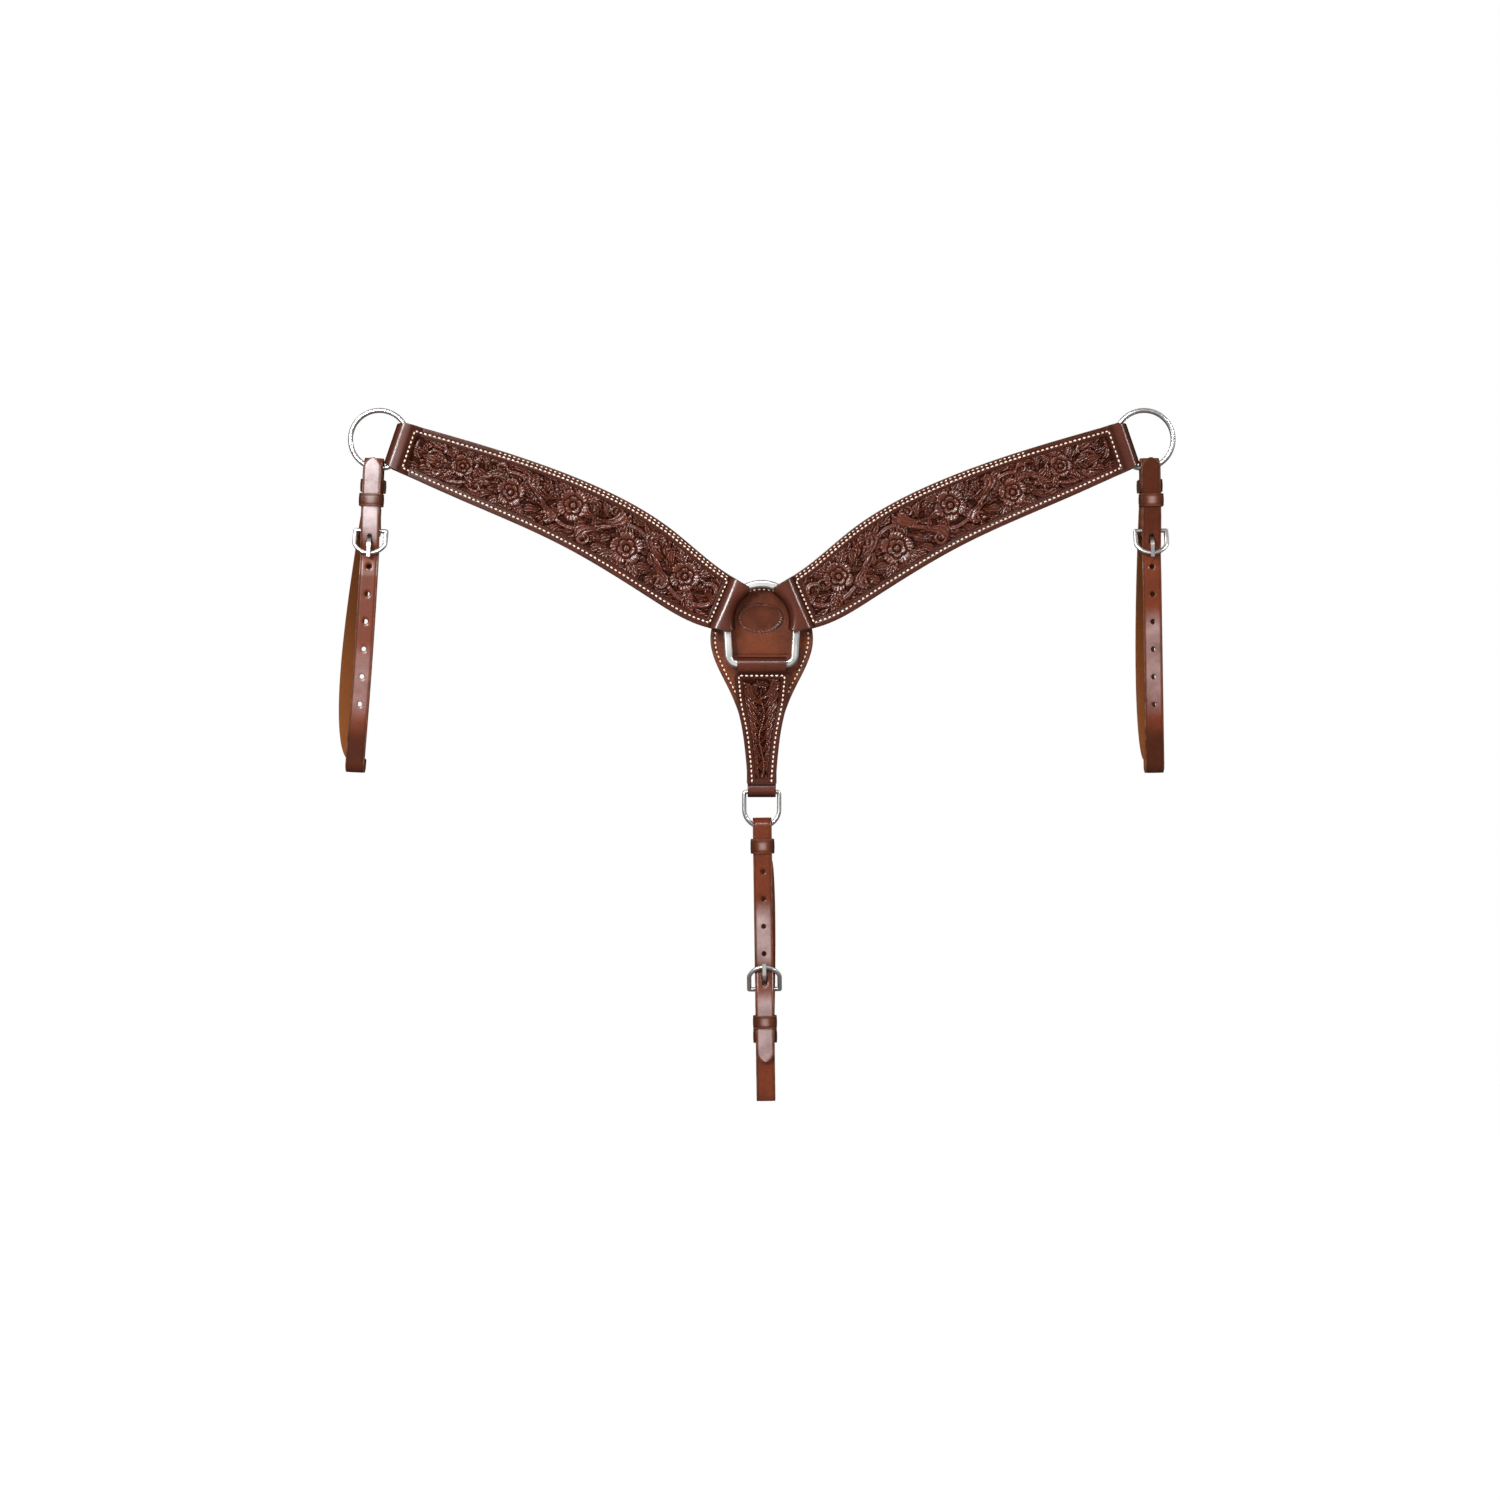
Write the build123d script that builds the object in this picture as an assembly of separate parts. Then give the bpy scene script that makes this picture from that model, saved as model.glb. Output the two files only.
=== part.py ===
from build123d import *

import math
import os

# Western breast collar with tooled wings, a centre ring, a drop with a girth strap, and two tugs.
# X runs along the wings, -Y is the show side, +Y the horse's side, +Z is up.
# The origin is the centre of the centre ring's round top. Millimetres and degrees.

# Clearances
METAL_GAP = 0.3          # between a metal piece and the next piece of another body
LEATHER_GAP = 0.3        # between two leather pieces that don't touch
EDGE_GAP = 0.3           # between a lining and the turned tab that it meets

# Centre ring
RING_RADIUS = 35.0       # centreline of the round top
RING_WIDTH = 8.0         # of the flat bar, across the ring
RING_THICKNESS = 5.5
RING_EDGE = 2.2          # rounding of the bar's edges
RING_DROP = 45.0         # from the origin down to the centre of the bottom bar
RING_LEAN = 3.3          # the sides lean inwards
RING_CORNER = 13.0       # outside, where the sides turn into the bottom bar
RING_INNER_CORNER = 3.5

# Wings
WING_LEATHER = 3.0       # tooled front and lining, each
LOOP_LEATHER = 2.6       # skived where the leather folds round metal
INNER_ANGLE = 23.0       # the inner loop's pull on the centre ring, above level
OUTER_ANGLE = 18.8       # the outer loop's pull on the side ring, below level
INNER_GAP = 5.9          # half the height of the tunnel round the centre ring
OUTER_GAP = 5.4
INNER_LOOP = 49.0        # width of the loops, along their folds
OUTER_LOOP = 48.0
INNER_PLAY = 1.7         # room between the centre ring's inside and the fold, on the centreline
CORNER_PLAY = 1.0        # the same near the fold's ends
OUTER_PLAY = 0.7         # room between the side ring's inside and the straight fold, at its ends
FOLD_GRIP = 21.0         # half the width over which the inner fold follows the centre ring
INNER_CUT = 9.3          # depth to which the inner loop's corners are cut back
SEAM_BEYOND = 4.5        # from a ring's outside to where its tunnel is closed
TAB_LENGTH = 22.5        # turned tab behind the closed part
UPPER_EDGE = [(0.135, 27.4), (0.283, 42.8), (0.513, 49.6), (0.763, 39.3)]   # share, offset
LOWER_EDGE = [(0.762, -20.2), (0.503, -18.5), (0.255, -29.1), (0.122, -31.8)]
SEAM_LAP = 1.5           # from the tunnel's end to where both layers lie flat

# Side rings
SIDE_X = 382.3
SIDE_Z = 179.5
SIDE_RADIUS = 29.0
SIDE_WIRE = 2.5

# Drop and shield
ROLL_LEATHER = 3.0
ROLL_BORE = 4.3          # radius round the centre ring's bottom bar
ROLL_HALF = 24.6
PANEL_HALF = 27.6        # half the panel's width below the upper roll
DROP_LEATHER = 3.0
DROP_FRONT = 7.7         # depth of the panel's front face below the roll
DROP_TAIL = 35.0         # length over which the upper roll runs out into the panel
SHIELD_LEATHER = 3.0
SHIELD_TOP = 35.0
SHIELD_HALF = 51.5       # half the shield's greatest width
SHIELD_FOOT = 15.0       # half its width at the dee
DEE_DROP = 173.0         # from the origin down to the dee's bar
DEE_ROLL_HALF = 14.2
DEE_ROLL_BORE = 2.5
DEE_ROLL_RISE = 8.0      # from the dee's bar up to where the lower roll lies flat
DEE_TAB = 152.0          # where the lower turned tab ends, below the origin

# Small dee
DEE_HALF = 17.55         # centreline, half the width
DEE_SIDE = 17.5          # straight sides
DEE_WIRE = 2.15
DEE_CORNER = 2.6

# Straps
STRAP_WIDTH = 19.0
STRAP_LEATHER = 3.5
STRAP_BORE = 5.0         # inner radius of the bends at both ends
BILLET_HOLE = 2.4
HOLE_PITCH = 27.5
HOLE_LEAD = 8.5          # from the buckle's bar to the tongue's hole
HOLE_WEAR = 5.6          # by which the hole in use is drawn out
TIP_POINT = 9.0
TURN_BACK = 22.0         # turned end behind the chape
TUG_LENGTH = 298.0       # between the centres of a tug's two bends
TUG_BAR = 64.5           # from the upper bend down to the buckle's bar
TUG_TIP = 8.0            # height of the billet's point over the upper bend
TUG_HOLES = 7
LEFT_BOW = -8.0          # sideways bow of the back strand
RIGHT_BOW = -5.0
GIRTH_LENGTH = 267.8
GIRTH_BAR = 104.0
GIRTH_TIP = -32.0
GIRTH_HOLES = 6
GIRTH_BOW = 4.0

# Buckles, for the strap above
FRAME_SPARE = 3.5        # room between the strap and the frame's side
FRAME_BAR = 4.0          # width and thickness of the frame's bars
FRAME_SIDE = 4.5         # width of the frame's sides
FRAME_LENGTH = 24.5      # bar centre to end bar centre
FRAME_EDGE = 1.6
END_REST = 1.3           # the end bar over the billet
BILLET_DIP = 1.2         # the billet presses in under the end bar
FRAME_SHOULDER = 0.6     # share of the length where the sides turn into the round end
TONGUE_WIDTH = 3.6
TONGUE_LEATHER_GAP = 0.7
TONGUE_THICKNESS = 2.6
TONGUE_LIFT = 1.35       # the tongue's middle above the end bar's front

# Keepers
KEEPER_LENGTH = 12.8
KEEPER_LEATHER = 2.0
KEEPER_GAP = 0.4
KEEPER_PLAY = 2.0        # straight strap left beside a keeper
GIRTH_KEEPER = 14.5      # length of the keeper just below the dee
GIRTH_KEEPER_DROP = 20.3  # from the dee's bend down to its middle
TUG_FRONT_KEEPER = 34.5  # keepers' middles below the upper bend
TUG_BACK_KEEPER = 19.8
GIRTH_FRONT_KEEPER = 72.0
GIRTH_BACK_KEEPER = 57.3

EXTENT = 600.0           # larger than any piece that is cut by a plane


def xz_slab(sketch, front, back):
    """Solid of an outline drawn in X and Z, between two depths."""
    return extrude(Plane.XZ.offset(-back) * sketch, amount=back - front, dir=(0, -1, 0))


def yz_bar(sketch, half_width):
    """Solid of a section drawn in Y and Z, to both sides of the middle."""
    return extrude(Plane.YZ * sketch, amount=half_width, both=True)


def disc(x, y, radius):
    return Pos(x, y) * Circle(radius)


def hull(*shapes):
    edges = []
    for shape in shapes:
        edges += list(shape.edges())
    return make_hull(edges)


def mirrored(points):
    return [(-x, z) for x, z in reversed(points)]


# ---------------------------------------------------------------- centre ring

def ring_face(radius, bottom, corner):
    """Area inside a ring outline: round top, sides that lean in, straight bottom."""
    lean = math.radians(RING_LEAN)
    side_top = (radius * math.cos(lean), -radius * math.sin(lean))
    side_run = (bottom + side_top[1]) * math.tan(lean)
    side_foot = (side_top[0] - side_run, -bottom)
    top_left, foot_left = (-side_top[0], side_top[1]), (-side_foot[0], side_foot[1])
    face = make_face([
        ThreePointArc(side_top, (0, radius), top_left),
        Line(top_left, foot_left),
        Line(foot_left, side_foot),
        Line(side_foot, side_top),
    ])
    return fillet(face.vertices().group_by(Axis.Y)[0], corner)


def make_centre_ring():
    half = RING_WIDTH / 2
    outer = ring_face(RING_RADIUS + half, RING_DROP + half, RING_CORNER)
    inner = ring_face(RING_RADIUS - half, RING_DROP - half, RING_INNER_CORNER)
    ring = xz_slab(outer - inner, -RING_THICKNESS / 2, RING_THICKNESS / 2)
    return fillet(ring.edges().group_by(Axis.Y)[0] + ring.edges().group_by(Axis.Y)[-1], RING_EDGE)


# ---------------------------------------------------------------- wings

def loop_plane(x, z, angle):
    """Plane of a loop's section: x from the ring to the leather, y is depth, z along the fold."""
    turn = math.radians(angle)
    return Plane(origin=(x, 0, z), x_dir=(math.cos(turn), 0, math.sin(turn)),
                 z_dir=(-math.sin(turn), 0, math.cos(turn)))


def reach_at(radius, along):
    """Distance of a circle from the line through its centre that runs along the fold."""
    return math.sqrt(radius ** 2 - along ** 2)


INNER_PLANE = loop_plane(0, 0, INNER_ANGLE)
OUTER_PLANE = loop_plane(SIDE_X, SIDE_Z, 180 + OUTER_ANGLE)
RING_INSIDE = RING_RADIUS - RING_WIDTH / 2
INNER_FOLD_REACH = RING_INSIDE - INNER_PLAY       # ring centre to the fold's inner face
FOLD_SAG = INNER_FOLD_REACH - reach_at(RING_INSIDE, FOLD_GRIP) + CORNER_PLAY
INNER_FOLD_RADIUS = (FOLD_GRIP ** 2 + FOLD_SAG ** 2) / (2 * FOLD_SAG)   # in plan
INNER_SHOULDER = RING_RADIUS + 0.5                # where the tunnel starts to close
INNER_SEAM = RING_RADIUS + RING_WIDTH / 2 + SEAM_BEYOND
INNER_TAB = INNER_SEAM + TAB_LENGTH
OUTER_FOLD_REACH = reach_at(SIDE_RADIUS, OUTER_LOOP / 2 - 1) - SIDE_WIRE - OUTER_PLAY
OUTER_SHOULDER = SIDE_RADIUS - 0.5
OUTER_SEAM = SIDE_RADIUS + SIDE_WIRE + SEAM_BEYOND
OUTER_TAB = OUTER_SEAM + TAB_LENGTH


def on_wing(plane, reach, along):
    """X and Z of a point given by its reach from a ring and its place along the fold."""
    point = plane.from_local_coords((reach, 0, along))
    return (point.X, point.Z)


def between_rings(share, offset):
    """Point of the wing's edge: its share of the way to the side ring, and its offset upwards."""
    turn = math.atan2(SIDE_Z, SIDE_X)
    x = share * SIDE_X - offset * math.sin(turn)
    return (x, share * SIDE_Z + offset * math.cos(turn))


def wing_outline():
    """Plan of the right wing, open at the folds, which shape their own edges."""
    inner_half, outer_half = INNER_LOOP / 2, OUTER_LOOP / 2
    inner_cut, outer_cut = INNER_FOLD_REACH - INNER_CUT, OUTER_FOLD_REACH - LOOP_LEATHER - 1
    inner_full, outer_full = inner_cut + 3.5, outer_cut + 9.6
    top_inner = on_wing(INNER_PLANE, inner_full, inner_half)
    low_inner = on_wing(INNER_PLANE, inner_full, -inner_half)
    top_outer = on_wing(OUTER_PLANE, outer_full, -outer_half)
    low_outer = on_wing(OUTER_PLANE, outer_full, outer_half)
    upper = Spline(top_inner, *[between_rings(*place) for place in UPPER_EDGE], top_outer)
    lower = Spline(low_outer, *[between_rings(*place) for place in LOWER_EDGE], low_inner)
    outer_end = Polyline(top_outer, on_wing(OUTER_PLANE, outer_cut, 4 - outer_half),
                         on_wing(OUTER_PLANE, outer_cut, outer_half - 4), low_outer)
    inner_end = Polyline(low_inner, on_wing(INNER_PLANE, inner_cut, 8 - inner_half),
                         on_wing(INNER_PLANE, inner_cut, inner_half - 8), top_inner)
    return make_face(upper.edges() + outer_end.edges() + lower.edges() + inner_end.edges())


def beyond(plane, reach):
    """Half space on the ring's side of a line across the wing."""
    return plane * (Pos(reach - EXTENT / 2, 0, 0) * Box(EXTENT, EXTENT / 4, EXTENT))


def tail(start, end, half):
    return Pos((start + end) / 2, 0) * Rectangle(end - start, 2 * half)


def loop_sections(fold, gap, shoulder, seam, tab):
    """Leather and tunnel of a loop in section, as two sketches."""
    flat = seam + SEAM_LAP
    outside = hull(disc(fold, 0, gap + LOOP_LEATHER), disc(shoulder, 0, gap + LOOP_LEATHER),
                   Line((flat, -WING_LEATHER), (flat, WING_LEATHER)))
    outside += tail(flat, tab, WING_LEATHER)
    tunnel = hull(disc(fold, 0, gap), disc(shoulder, 0, gap), Line((seam, -0.1), (seam, 0.1)))
    return outside, tunnel


def make_inner_loop():
    """Loop round the centre ring, whose fold is curved in plan as the ring is."""
    fold_centre = INNER_FOLD_REACH - INNER_FOLD_RADIUS
    middle = INNER_FOLD_RADIUS + INNER_GAP
    outside, tunnel = loop_sections(0, INNER_GAP, INNER_SHOULDER, INNER_SEAM, INNER_TAB)
    solids = []
    for section, half in ((outside, INNER_GAP + LOOP_LEATHER), (tunnel, INNER_GAP)):
        lip = disc(middle, 0, half) + tail(middle, middle + INNER_TAB, half)
        swept = revolve(INNER_PLANE * (Pos(fold_centre, 0) * lip),
                        axis=Axis(INNER_PLANE.from_local_coords((fold_centre, 0, 0)), (0, 1, 0)))
        straight = extrude(INNER_PLANE * section, amount=EXTENT / 8, both=True)
        solids.append(straight & swept)
    return solids[0] - solids[1]


def make_outer_loop():
    fold = OUTER_FOLD_REACH + OUTER_GAP
    outside, tunnel = loop_sections(fold, OUTER_GAP, OUTER_SHOULDER, OUTER_SEAM, OUTER_TAB)
    return extrude(OUTER_PLANE * (outside - tunnel), amount=EXTENT / 8, both=True)


def make_wing_front():
    outline = wing_outline()
    flat = xz_slab(outline, -WING_LEATHER, 0)
    flat -= beyond(INNER_PLANE, INNER_SEAM + SEAM_LAP)
    flat -= beyond(OUTER_PLANE, OUTER_SEAM + SEAM_LAP)
    reach = INNER_GAP + LOOP_LEATHER + 1
    loops = (make_inner_loop() + make_outer_loop()) & xz_slab(outline, -reach, reach)
    return flat + loops


def make_wing_lining():
    lining = xz_slab(wing_outline(), 0, WING_LEATHER)
    lining -= beyond(INNER_PLANE, INNER_TAB + EDGE_GAP)
    lining -= beyond(OUTER_PLANE, OUTER_TAB + EDGE_GAP)
    return lining


# ---------------------------------------------------------------- side rings and dee

def make_side_ring():
    ring = Torus(SIDE_RADIUS, SIDE_WIRE)
    return Pos(SIDE_X, 0, SIDE_Z) * Rot(90, 0, 0) * ring


DROP_BACK = DROP_FRONT + DROP_LEATHER
DEE_Y = (DROP_FRONT + DROP_BACK + 2 * SHIELD_LEATHER) / 2


def make_drop_dee():
    """Straight bar at the top, straight sides, round bottom."""
    bar, foot = -DEE_DROP, -DEE_DROP - DEE_SIDE
    path = make_face([
        Line((-DEE_HALF, bar), (DEE_HALF, bar)),
        Line((DEE_HALF, bar), (DEE_HALF, foot)),
        ThreePointArc((DEE_HALF, foot), (0, foot - DEE_HALF), (-DEE_HALF, foot)),
        Line((-DEE_HALF, foot), (-DEE_HALF, bar)),
    ])
    path = fillet(path.vertices().group_by(Axis.Y)[-1], DEE_CORNER)
    wire = (Plane.XZ.offset(-DEE_Y) * path).wire()
    section = Plane(origin=(0, DEE_Y, foot - DEE_HALF), z_dir=(1, 0, 0)) * Circle(DEE_WIRE)
    return sweep(section, path=wire)


# ---------------------------------------------------------------- drop and shield

def shield_outline(bottom):
    """Pear shape behind the centre ring that narrows to the drop's width."""
    half, foot, drop = SHIELD_HALF, SHIELD_FOOT, DEE_DROP
    right = [(0, SHIELD_TOP), (half * 0.64, SHIELD_TOP * 0.63), (half * 0.95, -drop * 0.017),
             (half, -drop * 0.127), (half * 0.913, -drop * 0.237), (half * 0.69, -drop * 0.376),
             (half * 0.485, -drop * 0.514), (foot * 1.23, -drop * 0.653),
             (foot * 1.033, -drop * 0.79), (foot, -drop)]
    right_edge = Spline(*right, tangents=[(1, 0), (0, -1)])
    left_edge = Spline(*mirrored(right), tangents=[(0, 1), (1, 0)])
    closing = Line(right[-1], (-right[-1][0], right[-1][1]))
    face = make_face(right_edge.edges() + closing.edges() + left_edge.edges())
    below = Pos(0, -bottom - EXTENT / 2) * Rectangle(EXTENT, EXTENT)
    return face - below


def panel_outline():
    """Plan of the tapered tooled panel with both rolls."""
    bottom = -DEE_DROP - 2 * DEE_ROLL_RISE
    roll_foot, shoulder = -RING_DROP - 6.0, -RING_DROP - 12.0
    lower_roll = -DEE_DROP + DEE_ROLL_RISE - 3.0
    drop = DEE_DROP
    right = [(PANEL_HALF, shoulder), (PANEL_HALF * 0.92, -drop * 0.474),
             (PANEL_HALF * 0.743, -drop * 0.613), (DEE_ROLL_HALF * 1.197, -drop * 0.751),
             (DEE_ROLL_HALF * 1.042, -drop * 0.896), (DEE_ROLL_HALF, lower_roll)]
    roll = [(ROLL_HALF, -RING_DROP + 15.0), (ROLL_HALF, roll_foot), (PANEL_HALF, shoulder)]
    foot = [(DEE_ROLL_HALF, lower_roll), (DEE_ROLL_HALF, bottom)]
    edges = Polyline(*roll).edges() + Spline(*right).edges() + Line(*foot).edges()
    edges += Polyline(*mirrored(roll)).edges() + Spline(*mirrored(right)).edges()
    edges += Line(*mirrored(foot)).edges()
    edges += [Line(roll[0], mirrored(roll)[-1]), Line(foot[-1], mirrored(foot)[0])]
    return make_face(edges)


def make_drop_panel():
    """Front leather of the drop, rolled round the ring's bar and round the dee's bar."""
    ring_bar = -RING_DROP
    run_out = ring_bar - DROP_TAIL
    upper = hull(disc(0, ring_bar, ROLL_BORE + ROLL_LEATHER),
                 Line((DROP_FRONT, run_out), (DROP_BACK, run_out)),
                 Line((DROP_BACK, ring_bar - 12), (DROP_BACK, run_out)))
    upper_bore = hull(disc(0, ring_bar, ROLL_BORE),
                      Line((DROP_FRONT - 0.1, ring_bar - 12.5), (DROP_FRONT + 0.1, ring_bar - 12.5)))
    dee_bar = -DEE_DROP
    tab_back = DROP_BACK + SHIELD_LEATHER
    lower = hull(disc(DEE_Y, dee_bar, DEE_ROLL_BORE + ROLL_LEATHER),
                 Line((DROP_FRONT, dee_bar + DEE_ROLL_RISE), (tab_back, dee_bar + DEE_ROLL_RISE)))
    lower_bore = disc(DEE_Y, dee_bar, DEE_ROLL_BORE)
    lower_bore = hull(lower_bore, Line((DROP_BACK - 0.1, dee_bar + 5), (DROP_BACK + 0.1, dee_bar + 5)))
    turned = Pos((DROP_FRONT + tab_back) / 2, (dee_bar + 7 - DEE_TAB) / 2)
    turned *= Rectangle(tab_back - DROP_FRONT, DEE_TAB - DEE_DROP + 2 * (DEE_DROP - DEE_TAB) - 7)
    flat = Pos((DROP_FRONT + DROP_BACK) / 2, (run_out + dee_bar + 7) / 2)
    flat *= Rectangle(DROP_LEATHER, run_out - dee_bar - 7)
    section = (upper - upper_bore) + flat + turned + (lower - lower_bore)
    solid = yz_bar(section, PANEL_HALF + 2)
    return solid & xz_slab(panel_outline(), -ROLL_BORE - ROLL_LEATHER - 1, EXTENT / 8)


def make_shield_front():
    return xz_slab(shield_outline(DEE_TAB - EDGE_GAP), DROP_BACK, DROP_BACK + SHIELD_LEATHER)


def make_shield_lining():
    front = DROP_BACK + SHIELD_LEATHER
    end = DEE_DROP - DEE_ROLL_RISE - EDGE_GAP
    return xz_slab(shield_outline(end), front, front + SHIELD_LEATHER)


# ---------------------------------------------------------------- straps

STRAP_REACH = STRAP_BORE + STRAP_LEATHER / 2     # middle of a strand from the strap's middle plane
STRAP_FACE = STRAP_BORE + STRAP_LEATHER          # show face of the front strand
BAR_BORE = FRAME_BAR / 2 + 0.4                   # bend of the chape round the buckle's bar
BAR_Y = BAR_BORE - STRAP_BORE
RAISED_FACE = STRAP_FACE + KEEPER_GAP + KEEPER_LEATHER + LEATHER_GAP   # back of the raised billet


class Strap:
    """Sizes of one buckled strap. It hangs from its upper bend at the local origin, tip upwards."""

    def __init__(self, length, bar, tip, holes, bow, foot, front_keeper, back_keeper):
        self.length = length              # between the centres of the two bends
        self.bar = bar                    # from the upper bend down to the buckle's bar
        self.tip = tip                    # height of the billet's point over the upper bend
        self.holes = holes
        self.bow = bow                    # sideways bow of the back strand
        self.foot = foot                  # straight part of the back strand over the lower bend
        self.front_keeper = front_keeper  # keepers' middles below the upper bend
        self.back_keeper = back_keeper


LEFT_TUG = Strap(TUG_LENGTH, TUG_BAR, TUG_TIP, TUG_HOLES, LEFT_BOW, STRAP_BORE,
                 TUG_FRONT_KEEPER, TUG_BACK_KEEPER)
RIGHT_TUG = Strap(TUG_LENGTH, TUG_BAR, TUG_TIP, TUG_HOLES, RIGHT_BOW, STRAP_BORE,
                  TUG_FRONT_KEEPER, TUG_BACK_KEEPER)
GIRTH = Strap(GIRTH_LENGTH, GIRTH_BAR, GIRTH_TIP, GIRTH_HOLES, GIRTH_BOW,
              GIRTH_KEEPER_DROP + GIRTH_KEEPER, GIRTH_FRONT_KEEPER, GIRTH_BACK_KEEPER)


def bend(height, upwards):
    """Half of a round turn of the strap, open downwards or upwards."""
    ring = disc(0, height, STRAP_FACE) - disc(0, height, STRAP_BORE)
    side = STRAP_FACE if upwards else -STRAP_FACE
    return ring & (Pos(0, height + side / 2) * Rectangle(2 * STRAP_FACE, STRAP_FACE))


def strand(y, top, bottom):
    return Pos(y, (top + bottom) / 2) * Rectangle(STRAP_LEATHER, top - bottom)


def make_chape(strap):
    """Front strand from the upper bend to the buckle, turned round the bar and stitched."""
    bar = -strap.bar
    outside = hull(disc(BAR_Y, bar, BAR_BORE + STRAP_LEATHER),
                   Line((-STRAP_FACE, bar + 12), (-STRAP_BORE + STRAP_LEATHER, bar + 12)))
    bore = hull(disc(BAR_Y, bar, BAR_BORE),
                Line((-STRAP_BORE - 0.1, bar + 8), (-STRAP_BORE + 0.1, bar + 8)))
    turned = Pos(-STRAP_BORE, bar + (12 + TURN_BACK) / 2)
    turned *= Rectangle(2 * STRAP_LEATHER, TURN_BACK - 12)
    section = (outside - bore) + turned + strand(-STRAP_REACH, 0, bar + TURN_BACK)
    solid = yz_bar(section, STRAP_WIDTH / 2)
    slot_half = TONGUE_WIDTH / 2 + TONGUE_LEATHER_GAP
    slot = Pos(0, BAR_Y, bar - 1) * Box(2 * slot_half, 6 * BAR_BORE, 2 * STRAP_LEATHER + 2 * BAR_BORE)
    return solid - slot


def billet_line(strap):
    """Path of the billet in section: level with the front strand, then raised over the chape."""
    bar = -strap.bar
    over_bar = BAR_Y - BAR_BORE - STRAP_LEATHER - LEATHER_GAP - STRAP_LEATHER / 2
    raised = -RAISED_FACE - STRAP_LEATHER / 2
    under = -STRAP_REACH + BILLET_DIP
    return FilletPolyline((-STRAP_REACH, -strap.length), (-STRAP_REACH, bar - 45),
                          (under, bar - 30), (under, bar - 20), (over_bar - 0.2, bar + 0.5),
                          (raised, bar + 14), (raised, strap.tip), radius=18.0)


def billet_outline(strap):
    half = STRAP_WIDTH / 2
    top = strap.tip
    shoulder = top - TIP_POINT
    point = make_face([
        ThreePointArc((half, shoulder), (half * 0.62, top - TIP_POINT * 0.34), (0, top)),
        ThreePointArc((0, top), (-half * 0.62, top - TIP_POINT * 0.34), (-half, shoulder)),
        Line((-half, shoulder), (half, shoulder)),
    ])
    body = Pos(0, (shoulder - strap.length) / 2) * Rectangle(STRAP_WIDTH, strap.length + shoulder)
    return point + body


def hole_heights(strap):
    first = -strap.bar - HOLE_LEAD
    return [first - HOLE_PITCH * index for index in range(strap.holes)]


def make_billet(strap):
    solid = yz_bar(trace(billet_line(strap), STRAP_LEATHER), STRAP_WIDTH / 2)
    solid &= xz_slab(billet_outline(strap), -EXTENT / 8, 0)
    punch = Rot(90, 0, 0) * Cylinder(BILLET_HOLE, EXTENT / 4)
    for height in hole_heights(strap)[1:]:
        solid -= Pos(0, 0, height) * punch
    worn = Pos(0, 0, hole_heights(strap)[0])
    for stretch in (-HOLE_WEAR / 2, HOLE_WEAR / 2):
        solid -= worn * Pos(0, 0, stretch) * punch
    return solid - worn * Box(2 * BILLET_HOLE, EXTENT / 4, HOLE_WEAR)


def make_back_strand(strap):
    """Straight through the keepers, bowed a little to one side between them."""
    half = STRAP_WIDTH / 2
    top = -strap.back_keeper - KEEPER_LENGTH / 2 - KEEPER_PLAY
    foot = -strap.length + strap.foot
    middle = (top + foot) / 2

    def edge(side):
        return [Line((side, 0), (side, top)),
                ThreePointArc((side, top), (side + strap.bow, middle), (side, foot)),
                Line((side, foot), (side, -strap.length))]

    closing = [Line((-half, 0), (half, 0)), Line((-half, -strap.length), (half, -strap.length))]
    return xz_slab(make_face(edge(-half) + edge(half) + closing), STRAP_BORE, STRAP_FACE)


def make_strap(strap):
    bends = yz_bar(bend(0, True) + bend(-strap.length, False), STRAP_WIDTH / 2)
    return bends + make_back_strand(strap) + make_chape(strap) + make_billet(strap)


# ---------------------------------------------------------------- buckles

def end_bar_y():
    """Depth of the frame's end bar, which lies on the billet."""
    return -STRAP_FACE - END_REST - FRAME_BAR / 2


FRAME_TILT = math.degrees(math.asin((BAR_Y - end_bar_y()) / FRAME_LENGTH))


def at_bar(strap):
    """The buckle's own frame: origin on its bar, z towards the bar, y to the horse."""
    return Pos(0, BAR_Y, -strap.bar)


def make_frame(strap):
    """Heel-bar buckle: square at the bar, drawn to a blunt point at the end."""
    inner = STRAP_WIDTH / 2 + FRAME_SPARE
    outer = inner + FRAME_SIDE
    half_bar = FRAME_BAR / 2

    shoulder = -FRAME_LENGTH * FRAME_SHOULDER

    def outline(side, top, end, soften):
        face = make_face([
            Line((-side, top), (side, top)),
            Line((side, top), (side, shoulder)),
            ThreePointArc((side, shoulder), (0, end), (-side, shoulder)),
            Line((-side, shoulder), (-side, top)),
        ])
        return fillet(face.vertices().filter_by(lambda v: v.Y < top - 1), soften)

    outside = outline(outer, half_bar, -FRAME_LENGTH - half_bar, 8.0)
    outside = fillet(outside.vertices().group_by(Axis.Y)[-1], 2.5)
    inside = outline(inner, -half_bar, -FRAME_LENGTH + half_bar, 5.0)
    frame = xz_slab(outside - inside, -half_bar, half_bar)
    frame = fillet(frame.edges().group_by(Axis.Y)[0] + frame.edges().group_by(Axis.Y)[-1], FRAME_EDGE)
    return at_bar(strap) * Rot(-FRAME_TILT, 0, 0) * frame


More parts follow.
